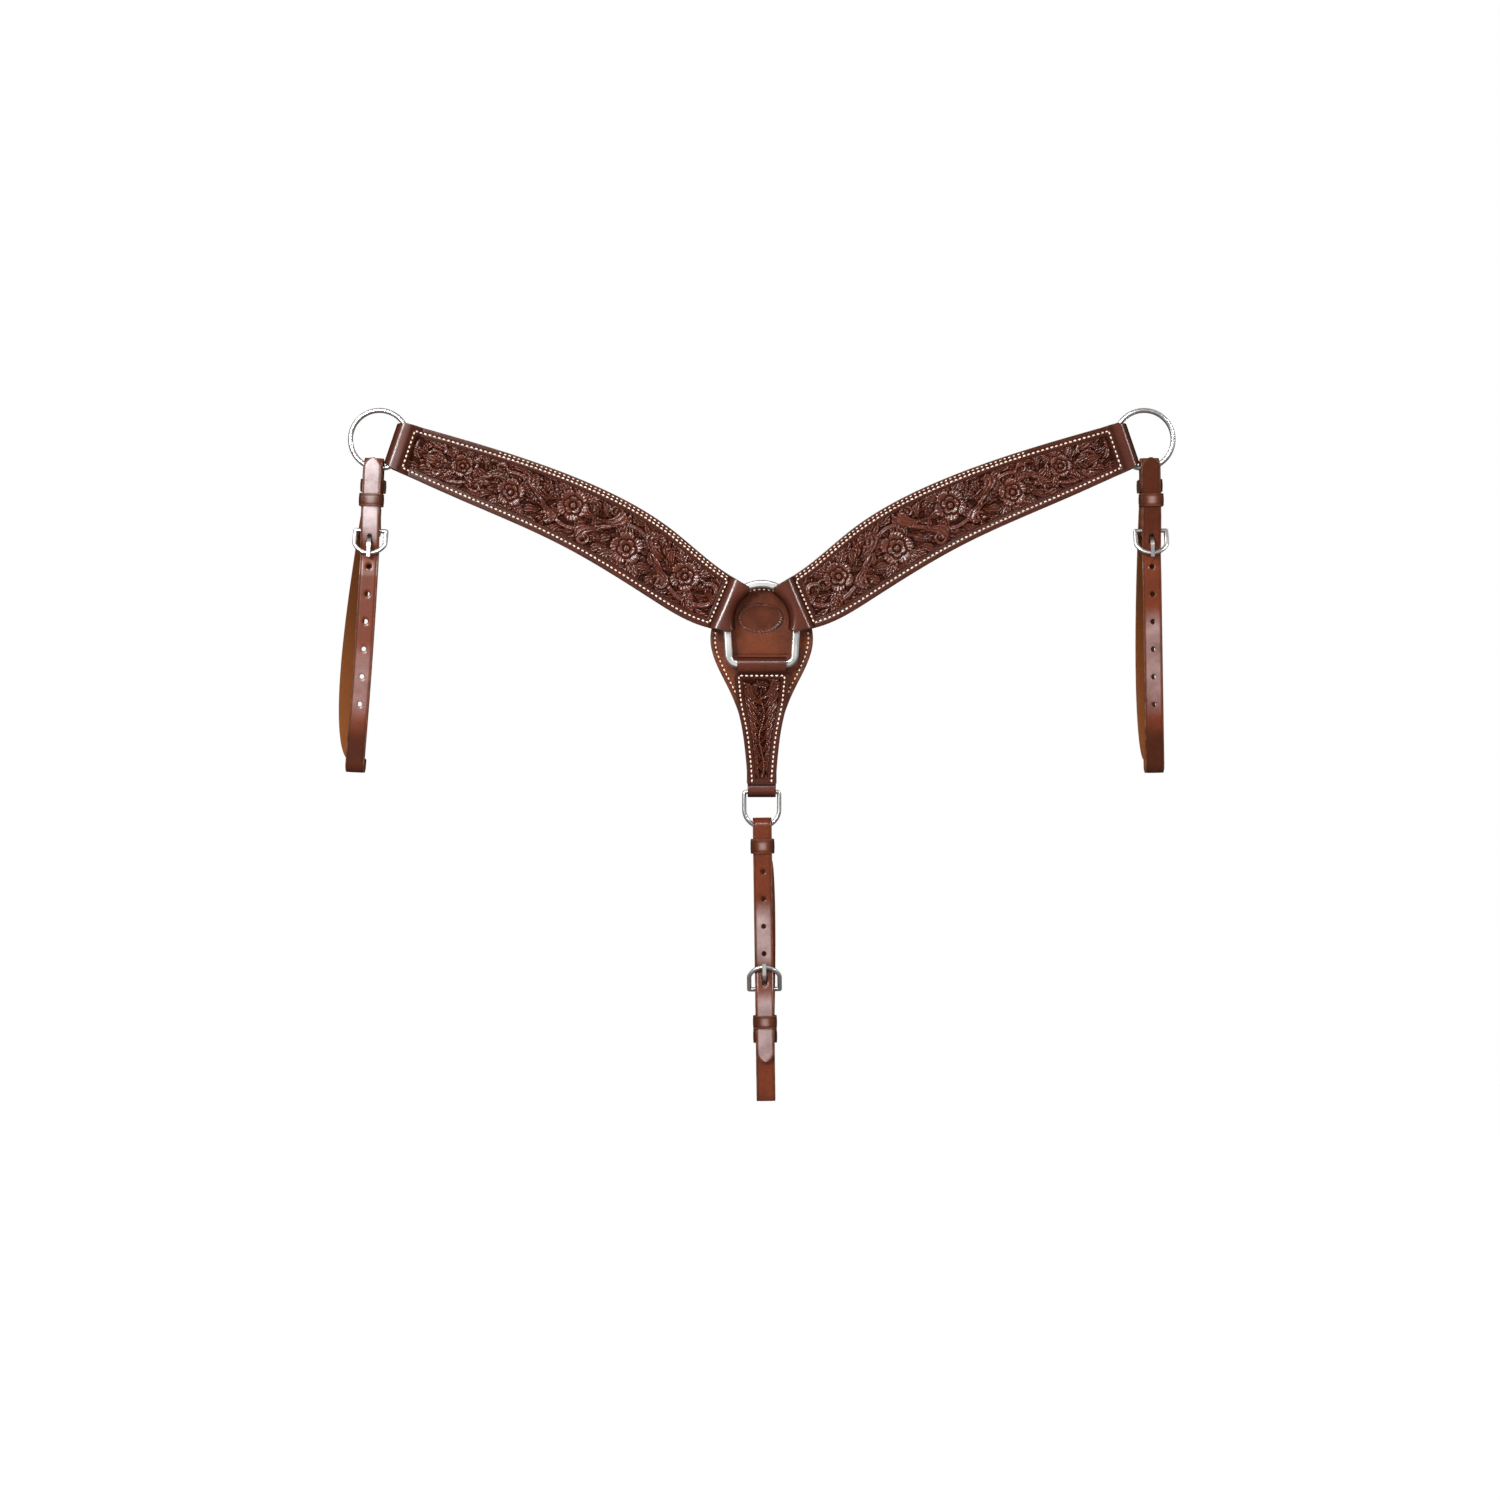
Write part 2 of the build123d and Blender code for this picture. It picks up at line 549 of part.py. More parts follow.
def make_tongue(strap):
    """Rolled round the bar, up through the billet's hole, down onto the end bar."""
    bore = FRAME_BAR / 2 + METAL_GAP
    rest = end_bar_y() - FRAME_BAR / 2 - TONGUE_LIFT - METAL_GAP - BAR_Y
    path = FilletPolyline((-1, -bore - TONGUE_THICKNESS / 2), (rest - 0.4, -HOLE_LEAD - 4),
                          (rest, -FRAME_LENGTH - FRAME_BAR / 2), radius=5.0)
    roll = disc(0, 0, bore + 1.7)
    section = roll + trace(path, TONGUE_THICKNESS) - disc(0, 0, bore)
    return at_bar(strap) * yz_bar(section, TONGUE_WIDTH / 2)


# ---------------------------------------------------------------- keepers

def make_keeper(front, back, middle, length=KEEPER_LENGTH):
    """Leather band round everything between two depths."""
    inner_half = STRAP_WIDTH / 2 + KEEPER_GAP
    depth = back - front + 2 * KEEPER_GAP
    wall = 2 * KEEPER_LEATHER
    band = RectangleRounded(2 * inner_half + wall, depth + wall, KEEPER_LEATHER)
    band -= RectangleRounded(2 * inner_half, depth, 0.8)
    ring = extrude(Pos(0, (front + back) / 2) * band, amount=length / 2, both=True)
    return Pos(0, 0, -middle) * ring


def make_front_keeper(strap):
    return make_keeper(-RAISED_FACE - STRAP_LEATHER, -STRAP_BORE, strap.front_keeper)


def make_back_keeper(strap):
    return make_keeper(-STRAP_FACE, STRAP_FACE, strap.back_keeper)


# ---------------------------------------------------------------- places

TUG_OUT = 5.2                 # the tugs hang a little outside the side rings' middles
TUG_DROP = SIDE_RADIUS - 2.0  # from the side ring's centre down to the tug's upper bend
LEFT_TILT = 2.6
RIGHT_TILT = -0.9
GIRTH_TILT = -0.8
GIRTH_DROP = DEE_DROP + DEE_SIDE + DEE_HALF - 0.8
GIRTH_X = 0.5


def left(solid):
    return mirror(solid, about=Plane.YZ)


def place_left_tug(solid):
    return Pos(-SIDE_X - TUG_OUT, 0, SIDE_Z - TUG_DROP) * Rot(0, LEFT_TILT, 0) * solid


def place_right_tug(solid):
    return Pos(SIDE_X + TUG_OUT, 0, SIDE_Z - TUG_DROP) * Rot(0, RIGHT_TILT, 0) * solid


def place_girth(solid):
    """The girth strap is a tug upside down: its lower bend hangs over the dee."""
    upside_down = Pos(0, 0, -GIRTH.length) * Rot(0, 180, 0) * solid
    return Pos(GIRTH_X, DEE_Y, -GIRTH_DROP) * Rot(0, GIRTH_TILT, 0) * upside_down


def add_strap(parts, side, strap, place):
    parts[f"{side}_buckle_frame"] = place(make_frame(strap))
    parts[f"{side}_buckle_tongue"] = place(make_tongue(strap))
    parts[f"{side}_keeper_front"] = place(make_front_keeper(strap))
    parts[f"{side}_keeper_back"] = place(make_back_keeper(strap))


def make_parts():
    parts = {
        "centre_ring": make_centre_ring(),
        "right_wing_front": make_wing_front(),
        "right_wing_lining": make_wing_lining(),
        "right_side_ring": make_side_ring(),
        "shield_front": make_shield_front(),
        "shield_lining": make_shield_lining(),
        "drop_panel": make_drop_panel(),
        "drop_dee": make_drop_dee(),
    }
    for name in ("wing_front", "wing_lining", "side_ring"):
        parts[f"left_{name}"] = left(parts[f"right_{name}"])
    parts["left_tug_strap"] = place_left_tug(make_strap(LEFT_TUG))
    parts["right_tug_strap"] = place_right_tug(make_strap(RIGHT_TUG))
    parts["girth_strap"] = place_girth(make_strap(GIRTH))
    add_strap(parts, "left", LEFT_TUG, place_left_tug)
    add_strap(parts, "right", RIGHT_TUG, place_right_tug)
    add_strap(parts, "girth", GIRTH, place_girth)
    top_keeper = make_keeper(-STRAP_FACE, STRAP_FACE, GIRTH.length - GIRTH_KEEPER_DROP, GIRTH_KEEPER)
    parts["girth_keeper_top"] = place_girth(top_keeper)
    return parts


os.makedirs("parts", exist_ok=True)
for name, part in make_parts().items():
    part.label = name
    export_step(part, f"parts/{name}.step")
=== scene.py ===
import math

import bmesh
import bpy
import numpy as np
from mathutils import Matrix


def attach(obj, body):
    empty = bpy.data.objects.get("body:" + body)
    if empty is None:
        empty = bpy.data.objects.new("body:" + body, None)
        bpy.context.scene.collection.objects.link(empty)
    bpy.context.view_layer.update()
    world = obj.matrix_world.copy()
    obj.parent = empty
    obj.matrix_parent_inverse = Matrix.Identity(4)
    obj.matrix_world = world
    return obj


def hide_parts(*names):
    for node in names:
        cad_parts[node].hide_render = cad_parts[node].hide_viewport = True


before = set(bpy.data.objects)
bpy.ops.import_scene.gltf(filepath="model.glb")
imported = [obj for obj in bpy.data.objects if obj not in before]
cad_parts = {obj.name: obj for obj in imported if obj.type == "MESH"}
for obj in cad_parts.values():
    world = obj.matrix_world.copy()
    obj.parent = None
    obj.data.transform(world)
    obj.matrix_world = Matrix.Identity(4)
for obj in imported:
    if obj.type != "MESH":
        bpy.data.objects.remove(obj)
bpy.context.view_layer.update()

MM = 0.001

# Sizes of the leather, in millimetres, as the solids have them
RING_DROP = 45.0
INNER_ANGLE, OUTER_ANGLE = 23.0, 198.8
INNER_FOLD_PLAN = 31.9                         # plan radius of the folded leather's middle
INNER_CENTRE, INNER_BEND = 35.2, 7.2
OUTER_CENTRE, OUTER_BEND = 19.9, 6.7
INNER_FLAT, OUTER_FLAT = 46.0, 38.0            # reach at which the leather lies flat
INNER_TAB, OUTER_TAB, OUTER_LAP = 66.0, 58.5, 8.5
SIDE_X, SIDE_Z = 382.3, 179.5
UPPER_EDGE = [(0.135, 27.4), (0.283, 42.8), (0.513, 49.6), (0.763, 39.3)]
LOWER_EDGE = [(0.122, -31.8), (0.255, -29.1), (0.503, -18.5), (0.762, -20.2)]
WING_LEATHER, BENT_LEATHER, HALF_LAYER = 3.0, 2.6, 1.5
STITCH_INSET, STITCH_PITCH, STITCH_SINK = 5.4, 4.8, -0.12
WING_COLUMNS, BACK_COLUMNS = 122, 9
SIDES = {"right": 1, "left": -1}


# ------------------------------------------------------------------ tools of the bench

def smooth(value, start, end):
    """0 before start, 1 after end, eased between."""
    share = np.clip((value - start) / (end - start), 0, 1)
    return share * share * (3 - 2 * share)


def line_at(value, place, width):
    """1 on a narrow line, falling off to both sides."""
    return np.exp(-((value - place) / width) ** 2)


def curve_through(points, start=None, end=None, step=1.0):
    """Smooth line through points, with given or free end directions, in even steps."""
    p = np.array(points, float)
    t = arc_length(p)
    n = len(p)
    a, b = np.zeros((n, n)), np.zeros((n, p.shape[1]))
    for i in range(1, n - 1):
        left, right = t[i] - t[i - 1], t[i + 1] - t[i]
        a[i, i - 1:i + 2] = left, 2 * (left + right), right
        b[i] = 6 * ((p[i + 1] - p[i]) / right - (p[i] - p[i - 1]) / left)
    a[0, 0] = a[-1, -1] = 1
    if start is not None:
        a[0, :2] = 2 * t[1], t[1]
        b[0] = 6 * ((p[1] - p[0]) / t[1] - np.array(start))
    if end is not None:
        last = t[-1] - t[-2]
        a[-1, -2:] = last, 2 * last
        b[-1] = 6 * (np.array(end) - (p[-1] - p[-2]) / last)
    m = np.linalg.solve(a, b)
    s = np.linspace(0, t[-1], max(8, int(t[-1] / step * 3)))
    k = np.clip(np.searchsorted(t, s) - 1, 0, n - 2)
    h = (t[k + 1] - t[k])[:, None]
    u, v = (t[k + 1] - s)[:, None], (s - t[k])[:, None]
    fine = (m[k] * u ** 3 + m[k + 1] * v ** 3) / (6 * h)
    fine += (p[k] / h - m[k] * h / 6) * u + (p[k + 1] / h - m[k + 1] * h / 6) * v
    return even_steps(fine, step)


def arc_length(points):
    return np.concatenate([[0], np.cumsum(np.linalg.norm(np.diff(points, axis=0), axis=1))])


def picked(s, length, values):
    """The rows of values, read at lengths s along a line."""
    return np.stack([np.interp(s, length, column) for column in values.T], axis=-1)


def even_steps(points, step=None, count=None):
    length = arc_length(points)
    count = count or max(2, int(round(length[-1] / step)) + 1)
    return picked(np.linspace(0, length[-1], count), length, points)


def directions(line):
    tangent = np.gradient(line, axis=0)
    return tangent / np.linalg.norm(tangent, axis=1)[:, None]


def same(direction, count):
    return np.tile(np.array(direction, float), (count, 1))


def bend_round(y, z, radius, start, stop, count):
    """Part of a circle in depth and height, between two angles in degrees."""
    a = np.radians(np.linspace(start, stop, count))
    return np.stack([y + radius * np.cos(a), z + radius * np.sin(a)], axis=1)


def cut_corners(points, radius, step=0.7):
    """A line with its corners rounded to a radius."""
    p = [np.array(q, float) for q in points]
    out = [p[0]]
    for i in range(1, len(p) - 1):
        a, b = p[i - 1] - p[i], p[i + 1] - p[i]
        la, lb = np.linalg.norm(a), np.linalg.norm(b)
        a, b = a / la, b / lb
        half = math.acos(max(-1, min(1, float(a @ b)))) / 2
        if half > math.pi / 2 - 0.01:
            out.append(p[i])
            continue
        back = min(radius / math.tan(half), la * 0.49, lb * 0.49)
        r = back * math.tan(half)
        centre = p[i] + (a + b) / np.linalg.norm(a + b) * (r / math.sin(half))
        start, stop = p[i] + a * back - centre, p[i] + b * back - centre
        turn = math.atan2(start[0] * stop[1] - start[1] * stop[0], start @ stop)
        steps = max(3, int(abs(turn) * r / step))
        for k in range(steps + 1):
            c, s = math.cos(turn * k / steps), math.sin(turn * k / steps)
            out.append(centre + np.array([c * start[0] - s * start[1], s * start[0] + c * start[1]]))
    out.append(p[-1])
    return np.array(out)


def take_up(*pieces):
    """Selects these pieces and no others, the first of them active."""
    if bpy.context.object and bpy.context.object.mode != "OBJECT":
        bpy.ops.object.mode_set(mode="OBJECT")
    bpy.ops.object.select_all(action="DESELECT")
    for piece in pieces:
        piece.select_set(True)
    if pieces:
        bpy.context.view_layer.objects.active = pieces[0]


def corners_of(piece):
    return np.array([v.co[:] for v in piece.data.vertices])


def close_up(piece, join_doubles=False, caps=False):
    """Merges doubles, fills open ends and turns the faces outwards."""
    take_up(piece)
    bpy.ops.object.mode_set(mode="EDIT")
    bpy.ops.mesh.select_all(action="SELECT")
    if join_doubles:
        bpy.ops.mesh.remove_doubles(threshold=1e-6)
    if caps:
        bpy.ops.mesh.select_all(action="DESELECT")
        bpy.ops.mesh.select_mode(type="EDGE")
        bpy.ops.mesh.select_non_manifold()
        bpy.ops.mesh.fill_holes(sides=0)
    bpy.ops.mesh.select_mode(type="VERT")
    bpy.ops.mesh.select_all(action="SELECT")
    bpy.ops.mesh.normals_make_consistent(inside=False)
    if bmesh.from_edit_mesh(piece.data).calc_volume(signed=True) < 0:
        bpy.ops.mesh.flip_normals()
    bpy.ops.object.mode_set(mode="OBJECT")


def grid_piece(name, points, marks, caps=True):
    """A flat grid pulled into place: rows of points, closed round, its ends filled."""
    rows, columns = points.shape[:2]
    take_up()
    bpy.ops.mesh.primitive_grid_add(x_subdivisions=columns, y_subdivisions=rows - 1, size=1)
    piece = bpy.context.object
    piece.name = piece.data.name = name
    flat = corners_of(piece)
    column = np.rint((flat[:, 0] + 0.5) * columns).astype(int) % columns
    row = np.rint((flat[:, 1] + 0.5) * (rows - 1)).astype(int)
    piece.data.vertices.foreach_set("co", (points[row, column] * MM).ravel())
    for mark, values in marks.items():
        layer = piece.data.attributes.new(mark, "FLOAT", "POINT")
        layer.data.foreach_set("value", np.asarray(values[row, column], np.float32))
    close_up(piece, True, caps)
    bpy.ops.object.shade_smooth_by_angle(angle=math.radians(50))
    return piece


def finish_piece(piece, body, leather, slot, *nodes):
    piece.data.materials.clear()
    piece.data.materials.append(leather)
    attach(piece, body)
    if nodes:
        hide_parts(*nodes)


class Leather:
    """A strip of leather by stations: where its middle runs, which way is across and which outward."""

    def __init__(self, centre, across, outward, low, high, thick):
        self.centre, self.across, self.outward = centre, across, outward
        self.low, self.high, self.thick = low, high, np.broadcast_to(thick, low.shape)
        self.length = arc_length(centre)

    def section(self, front, back, edge=4, bulge=0.9):
        """Places across and heights of the closed section at every station."""
        bulge = np.minimum(bulge, 0.3 * (self.high - self.low))[:, None]
        low, high, half = self.low[:, None] + bulge, self.high[:, None] - bulge, self.thick[:, None] / 2
        turn = np.linspace(0, math.pi, 2 * edge + 1)[None, 1:-1]
        f, b = np.linspace(0, 1, front)[None], np.linspace(1, 0, back)[None]
        lean = np.sign(np.cos(turn)) * np.abs(np.cos(turn)) ** 0.8
        round_out = bulge * np.sin(turn) ** 0.8
        x = [low + (high - low) * f, high + round_out, low + (high - low) * b, low - round_out]
        y = [half * np.ones_like(f), half * lean, -half * np.ones_like(b), -half * lean]
        self.face, self.hidden = slice(0, front), slice(front + 2 * edge - 1, 1 - 2 * edge)
        return np.concatenate(x, axis=1), np.concatenate(y, axis=1)

    def gap(self, x):
        """Distance inwards from the nearer edge."""
        return np.minimum(x - self.low[:, None], self.high[:, None] - x)

    def marks(self, x, shade, rim=2.2, **others):
        """What the leather's finish reads: dye in the cuts together with painted shade, burnished rims and
        the raw inner side.
        """
        flesh = np.zeros(x.shape)
        flesh[:, self.hidden] = 1
        return {"shade": shade, "edge": 1 - smooth(self.gap(x), 0.5, rim), "flesh": flesh, **others}

    def place(self, x, y):
        point = self.centre[:, None] + self.across[:, None] * x[..., None]
        return point + self.outward[:, None] * y[..., None]

    def at(self, s, x, lift=STITCH_SINK):
        """Points and outward directions over the show face, at lengths along and offsets across."""
        s, x = np.broadcast_arrays(np.asarray(s, float), x)
        c, a, o = [picked(s, self.length, values) for values in (self.centre, self.across, self.outward)]
        half = np.interp(s, self.length, self.thick) / 2
        return c + a * x[..., None] + o * (half + lift)[..., None], o


def hung_strip(line, aside, half, thick):
    """A strip of leather that hangs: its line gives depth and height, aside its place across."""
    run, none = directions(line), np.zeros(len(line))
    return Leather(np.stack([none + aside, *line.T], axis=1), same((1, 0, 0), len(line)),
                   np.stack([none, run[:, 1], -run[:, 0]], axis=1), -half, half, thick)


# ------------------------------------------------------------------ plan of the wings

def reach_axes(angle):
    turn = math.radians(angle)
    return np.array([math.cos(turn), 0, math.sin(turn)]), np.array([-math.sin(turn), 0, math.cos(turn)])


INNER_OUT, INNER_UP = reach_axes(INNER_ANGLE)
OUTER_OUT, OUTER_DOWN = reach_axes(OUTER_ANGLE)
SIDE_CENTRE = np.array([SIDE_X, 0, SIDE_Z])


def between_rings(share, offset):
    turn = math.atan2(SIDE_Z, SIDE_X)
    return (share * SIDE_X - offset * math.sin(turn), share * SIDE_Z + offset * math.cos(turn))


def inner_reach(x, z):
    return x * INNER_OUT[0] + z * INNER_OUT[2], x * INNER_UP[0] + z * INNER_UP[2]


def outer_reach(x, z):
    dx, dz = x - SIDE_X, z - SIDE_Z
    return dx * OUTER_OUT[0] + dz * OUTER_OUT[2], -dx * OUTER_DOWN[0] - dz * OUTER_DOWN[2]


def wing_edge(middle, start_along, stop_along):
    """One edge of the wing, from beside the centre ring to beside the side ring."""
    start = INNER_OUT * 23.5 + INNER_UP * start_along
    stop = SIDE_CENTRE + OUTER_OUT * 20.5 + OUTER_DOWN * stop_along
    return curve_through([start[[0, 2]], *[between_rings(*p) for p in middle], stop[[0, 2]]], step=0.5)


upper_line, lower_line = wing_edge(UPPER_EDGE, 24.5, -24), wing_edge(LOWER_EDGE, -24.5, 24)


def loop_half(line, reach_of, corner):
    """Half the loop's width by reach: the wing's edge, and the cut corner before it."""
    reach, along = reach_of(line[:, 0], line[:, 1])
    near = (reach > corner[-1][0]) & (reach < 80)
    order = np.argsort(reach[near])
    r = np.concatenate([[c[0] for c in corner], reach[near][order]])
    v = np.concatenate([[c[1] for c in corner], np.abs(along)[near][order]])
    return lambda d: np.interp(d, r, v)


INNER_CORNER = [(19.9, 16.0), (20.0, 16.5), (23.5, 24.5)]
OUTER_CORNER = [(10.8, 19.9), (10.86, 20.0), (20.5, 24.0)]


def fold_shift(x):
    """How far the inner fold falls back beside its middle, as the ring does."""
    return np.sqrt(INNER_FOLD_PLAN ** 2 - np.clip(x, -25, 25) ** 2) - INNER_FOLD_PLAN


def loop_path(centre, bend, flat, shoulder):
    """Middle of the folded leather on the show side, from the tip of the fold: reach and depth."""
    turn = np.linspace(0, math.pi / 2, 16)
    arc = np.stack([centre - bend * np.cos(turn), -bend * np.sin(turn)], axis=1)
    span, fall = flat - shoulder, bend - HALF_LAYER
    slope = [(shoulder + span * run, -bend + fall * drop)
             for run, drop in ((0.25, 0.07), (0.5, 0.27), (0.72, 0.57), (0.88, 0.86))]
    points = [(shoulder, -bend), *slope, (flat, -HALF_LAYER)]
    return np.concatenate([arc, curve_through(points, start=(1, 0), end=(1, 0.35), step=0.9)])


def loop_stations(path, tab, origin, out, across, high, low, curved):
    """Stations from the turned tab's end, round the fold, to where the leather lies flat."""
    flat = np.linspace(tab, path[-1, 0], 7, endpoint=False)
    tab_line = np.stack([flat, np.full(7, HALF_LAYER)], axis=1)
    line = even_steps(np.concatenate([tab_line, path[::-1] * [1, -1], path[1:]]), 1.25)
    tangent, depth = directions(line), np.array([0, 1, 0])
    outward = out * tangent[:, 1:2] + depth * -tangent[:, 0:1]
    centre = origin + out * line[:, :1] + depth * line[:, 1:]
    share = 1 - smooth(line[:, 0], 33, 38.5) if curved else np.zeros(len(line))
    sides = []
    for half in (low, high):
        v = np.linspace(12, 42, 600)
        reach = line[:, :1] + share[:, None] * fold_shift(v)[None]
        sides.append(v[np.argmax(v[None] > half(reach), axis=1) - 1])
    return centre, same(across, len(line)), outward, -sides[0], sides[1], share


def crossing(line, reach_of, reach):
    """Where an edge comes to a reach from the ring."""
    r = reach_of(line[:, 0], line[:, 1])[0]
    k = np.argmax(r >= reach) if r[0] < reach else np.argmax(r <= reach)
    share = (reach - r[k - 1]) / (r[k] - r[k - 1])
    return k, line[k - 1] + share * (line[k] - line[k - 1])


def flat_edge(line):
    k, start = crossing(line, inner_reach, INNER_FLAT)
    m, stop = crossing(line, outer_reach, OUTER_FLAT)
    return np.concatenate([[start], line[k:m], [stop]])


def wing_leather(step=0.64):
    """The tooled leather of the right wing, from one turned tab to the other."""
    inner = [loop_half(line, inner_reach, INNER_CORNER) for line in (upper_line, lower_line)]
    outer = [loop_half(line, outer_reach, OUTER_CORNER) for line in (upper_line, lower_line)]
    start = loop_stations(loop_path(INNER_CENTRE, INNER_BEND, INNER_FLAT, 35.8), INNER_TAB, np.zeros(3),
                          INNER_OUT, INNER_UP, *inner, True)
    stop = loop_stations(loop_path(OUTER_CENTRE, OUTER_BEND, OUTER_FLAT, 28.5), OUTER_TAB, SIDE_CENTRE,
                         OUTER_OUT, -OUTER_DOWN, *outer, False)
    upper, lower = flat_edge(upper_line), flat_edge(lower_line)
    count = int(max(arc_length(upper)[-1], arc_length(lower)[-1]) / step)
    upper, lower = even_steps(upper, count=count), even_steps(lower, count=count)
    middle, span = (upper + lower) / 2, upper - lower
    half = np.linalg.norm(span, axis=1) / 2
    across = np.stack([span[:, 0], 0 * half, span[:, 1]], axis=1) / (2 * half)[:, None]
    centre = np.stack([middle[:, 0], np.full(count, -HALF_LAYER), middle[:, 1]], axis=1)
    flat = (centre, across, same((0, -1, 0), count), -half, half, np.zeros(count))
    centre, across, outward, low, high, share = [
        np.concatenate([a, b[1:-1], c[::-1]]) for a, b, c in zip(start, flat, stop)]
    thick = np.where(np.abs(centre[:, 1]) > HALF_LAYER + 0.1, BENT_LEATHER, WING_LEATHER)
    thick = np.convolve(np.pad(thick, 4, mode="edge"), np.ones(9) / 9, mode="valid")
    sheet = Leather(centre, across, outward, low, high, thick)
    sheet.share = share
    sheet.flat_from, sheet.flat_to = len(start[0]) - 1, len(start[0]) - 2 + count - 1
    sheet.tool_to = int(np.searchsorted(sheet.length, sheet.length[sheet.flat_to] + OUTER_LAP))
    return sheet


# ------------------------------------------------------------------ tooling

def fingers(phase, power=0.65):
    """Rounded ridges with sharp valleys between, one to each whole number of the phase."""
    return np.abs(np.sin(math.pi * phase)) ** power


def dome(part):
    """A round back, 1 on its middle and 0 from its rim outwards."""
    return np.sqrt(np.clip(1 - part ** 2, 0, 1))


def petal_flower(x, z, radius, turn, double=True):
    """Inside distance and height of a flower with two rings of five fluted, turned-up petals."""
    rho = np.hypot(x, z) + 1e-9
    theta = np.arctan2(z, x) - turn
    fifth = 2 * math.pi / 5
    swirl = (theta + 0.25 * rho / radius + fifth / 2) % fifth - fifth / 2
    psi = np.abs(swirl) / (fifth / 2)
    out = rho / radius
    edge = radius * (0.97 - 0.26 * psi ** 3 + 0.06 * fingers(swirl / fifth * 5 + 0.5, 1))
    inside, rise = edge - rho, rho / edge
    height = -0.75 + 1.35 * smooth(rise, 0.3, 0.88) - 0.5 * smooth(rise, 0.9, 1.02)
    height += 0.62 * (fingers(swirl / fifth * 5 + 0.5) - 0.6) * smooth(out, 0.3, 0.55)
    height -= 0.8 * line_at((1 - psi) * rho * fifth / 2, 0, 1.1)
    if double:
        near, top = petal_flower(x, z, radius * 0.56, turn + fifth / 2, False)
        return inside, np.where(near > 0, top + 0.3, height) - 0.9 * line_at(near, -0.3, 0.9)
    cup = radius * 0.34
    seeds = 0.4 * np.cos(theta * 6) * smooth(rho, cup * 0.3, cup * 0.7)
    height = np.where(rho < cup, 0.1 + 0.4 * dome(rho / cup) + seeds, height)
    return inside, height - 0.7 * line_at(rho, cup + 0.5, 0.8)


def acanthus(x, z, length, width, bend, lobes):
    """A leaf with its base at the origin, bent sideways, in slanting fingers on both sides of its rib."""
    u = x / length
    v = np.clip(u, 0, 1)
    q = z - bend * length * 2 * v * (1 - v) - bend * length * 0.5 * u ** 2
    body = width * np.clip(np.sin(math.pi * v ** 0.8), 0, 1) ** 0.7 + 0.1
    part = np.abs(q) / body
    wave = fingers(lobes * (u - 0.3 * np.abs(q) / width) + 0.1, 0.7)
    inside = np.where((u > 0) & (u < 1), body * (0.58 + 0.42 * wave) - np.abs(q), -3.0)
    height = 0.05 + 1.1 * (wave - 0.6) * smooth(part, 0.08, 0.4) + 0.35 * smooth(part, 0.1, 0.6)
    height -= 0.5 * smooth(part, 0.75, 1.1)
    return inside, height + (0.35 * np.exp(-(q / 0.9) ** 2) - 0.55 * line_at(np.abs(q), 1.35, 0.8))


def plume(x, z, length, width, bend, ribs):
    """A scroll leaf, fluted along its length, with a rounded end."""
    u = x / length
    v = np.clip(u, 0, 1)
    q = z - bend * length * (2 * v * (1 - v) + 0.5 * u ** 2)
    body = width * (0.25 + 0.75 * np.clip(v / 0.72, 0, 1) ** 1.3)
    body = body * dome(np.clip(v - 0.72, 0, 1) / 0.28) + 0.05
    part = np.clip(q / body, -1, 1)
    inside = np.where((u > 0) & (u < 1), body - np.abs(q), -3.0)
    flutes = 1.25 * (fingers(ribs * (part + 1) / 2, 1.3) - 0.5)
    return inside, -0.1 + 0.45 * np.sqrt(1 - 0.9 * part ** 2) + flutes + 0.25 * v


def bead(x, z, radius):
    rho = np.hypot(x, z)
    return radius - rho, 0.1 + 0.8 * dome(rho / radius)


def ribbon(x, z, line, width, tip):
    """A rounded stem along a line, narrower at its end."""
    best, place = gap_to_line(x, z, line)
    wide = width + (tip - width) * (place / (len(line) - 1))
    return wide - best, -0.15 + 1.0 * dome(best / wide) - 0.45 * line_at(best, 0, 0.6)


def gap_to_line(x, z, line):
    """Distance of each place to the nearest of a line's short runs, and how many runs along it is."""
    best, place = np.full(x.shape, 1e6), np.zeros(x.shape)
    for k, (a, b) in enumerate(zip(line[:-1], line[1:])):
        d = b - a
        t = np.clip(((x - a[0]) * d[0] + (z - a[1]) * d[1]) / (d @ d), 0, 1)
        gap = np.hypot(x - a[0] - t * d[0], z - a[1] - t * d[1])
        place = np.where(gap < best, k + t, place)
        best = np.minimum(best, gap)
    return best, place


def carve(work, where, inside, height):
    """Lays one motif over those before it, with a cut line round it."""
    edge = smooth(inside, -0.35, 0.45)
    work["height"][where] = work["height"][where] * (1 - edge) + (height + work["level"]) * edge
    work["height"][where] -= 0.6 * line_at(inside, -0.5, 0.75)


def motif(work, kind, x, z, turn, reach, *sizes):
    """Carves a motif at a place and turn of the plan."""
    dx, dz = work["x"] - x, work["z"] - z
    where = np.nonzero(dx * dx + dz * dz < reach * reach)[0]
    c, s = math.cos(turn), math.sin(turn)
    lx, lz = c * dx[where] + s * dz[where], -s * dx[where] + c * dz[where]
    carve(work, where, *kind(lx, lz, *sizes))


def leaf(work, kind, s, t, lean, length, *sizes):
    """Carves a leaf at a length along and an offset across the strip, leant from the strip's own run."""
    x, z = work["to_plan"](s, t)
    motif(work, kind, x, z, work["turn_at"](s) + math.radians(lean), length * 1.3, length, *sizes)


def stem(work, line, width, tip):
    low, high = line.min(0) - 6, line.max(0) + 6
    near = (work["x"] > low[0]) & (work["x"] < high[0]) & (work["z"] > low[1]) & (work["z"] < high[1])
    where = np.nonzero(near)[0]
    carve(work, where, *ribbon(work["x"][where], work["z"][where], line, width, tip))


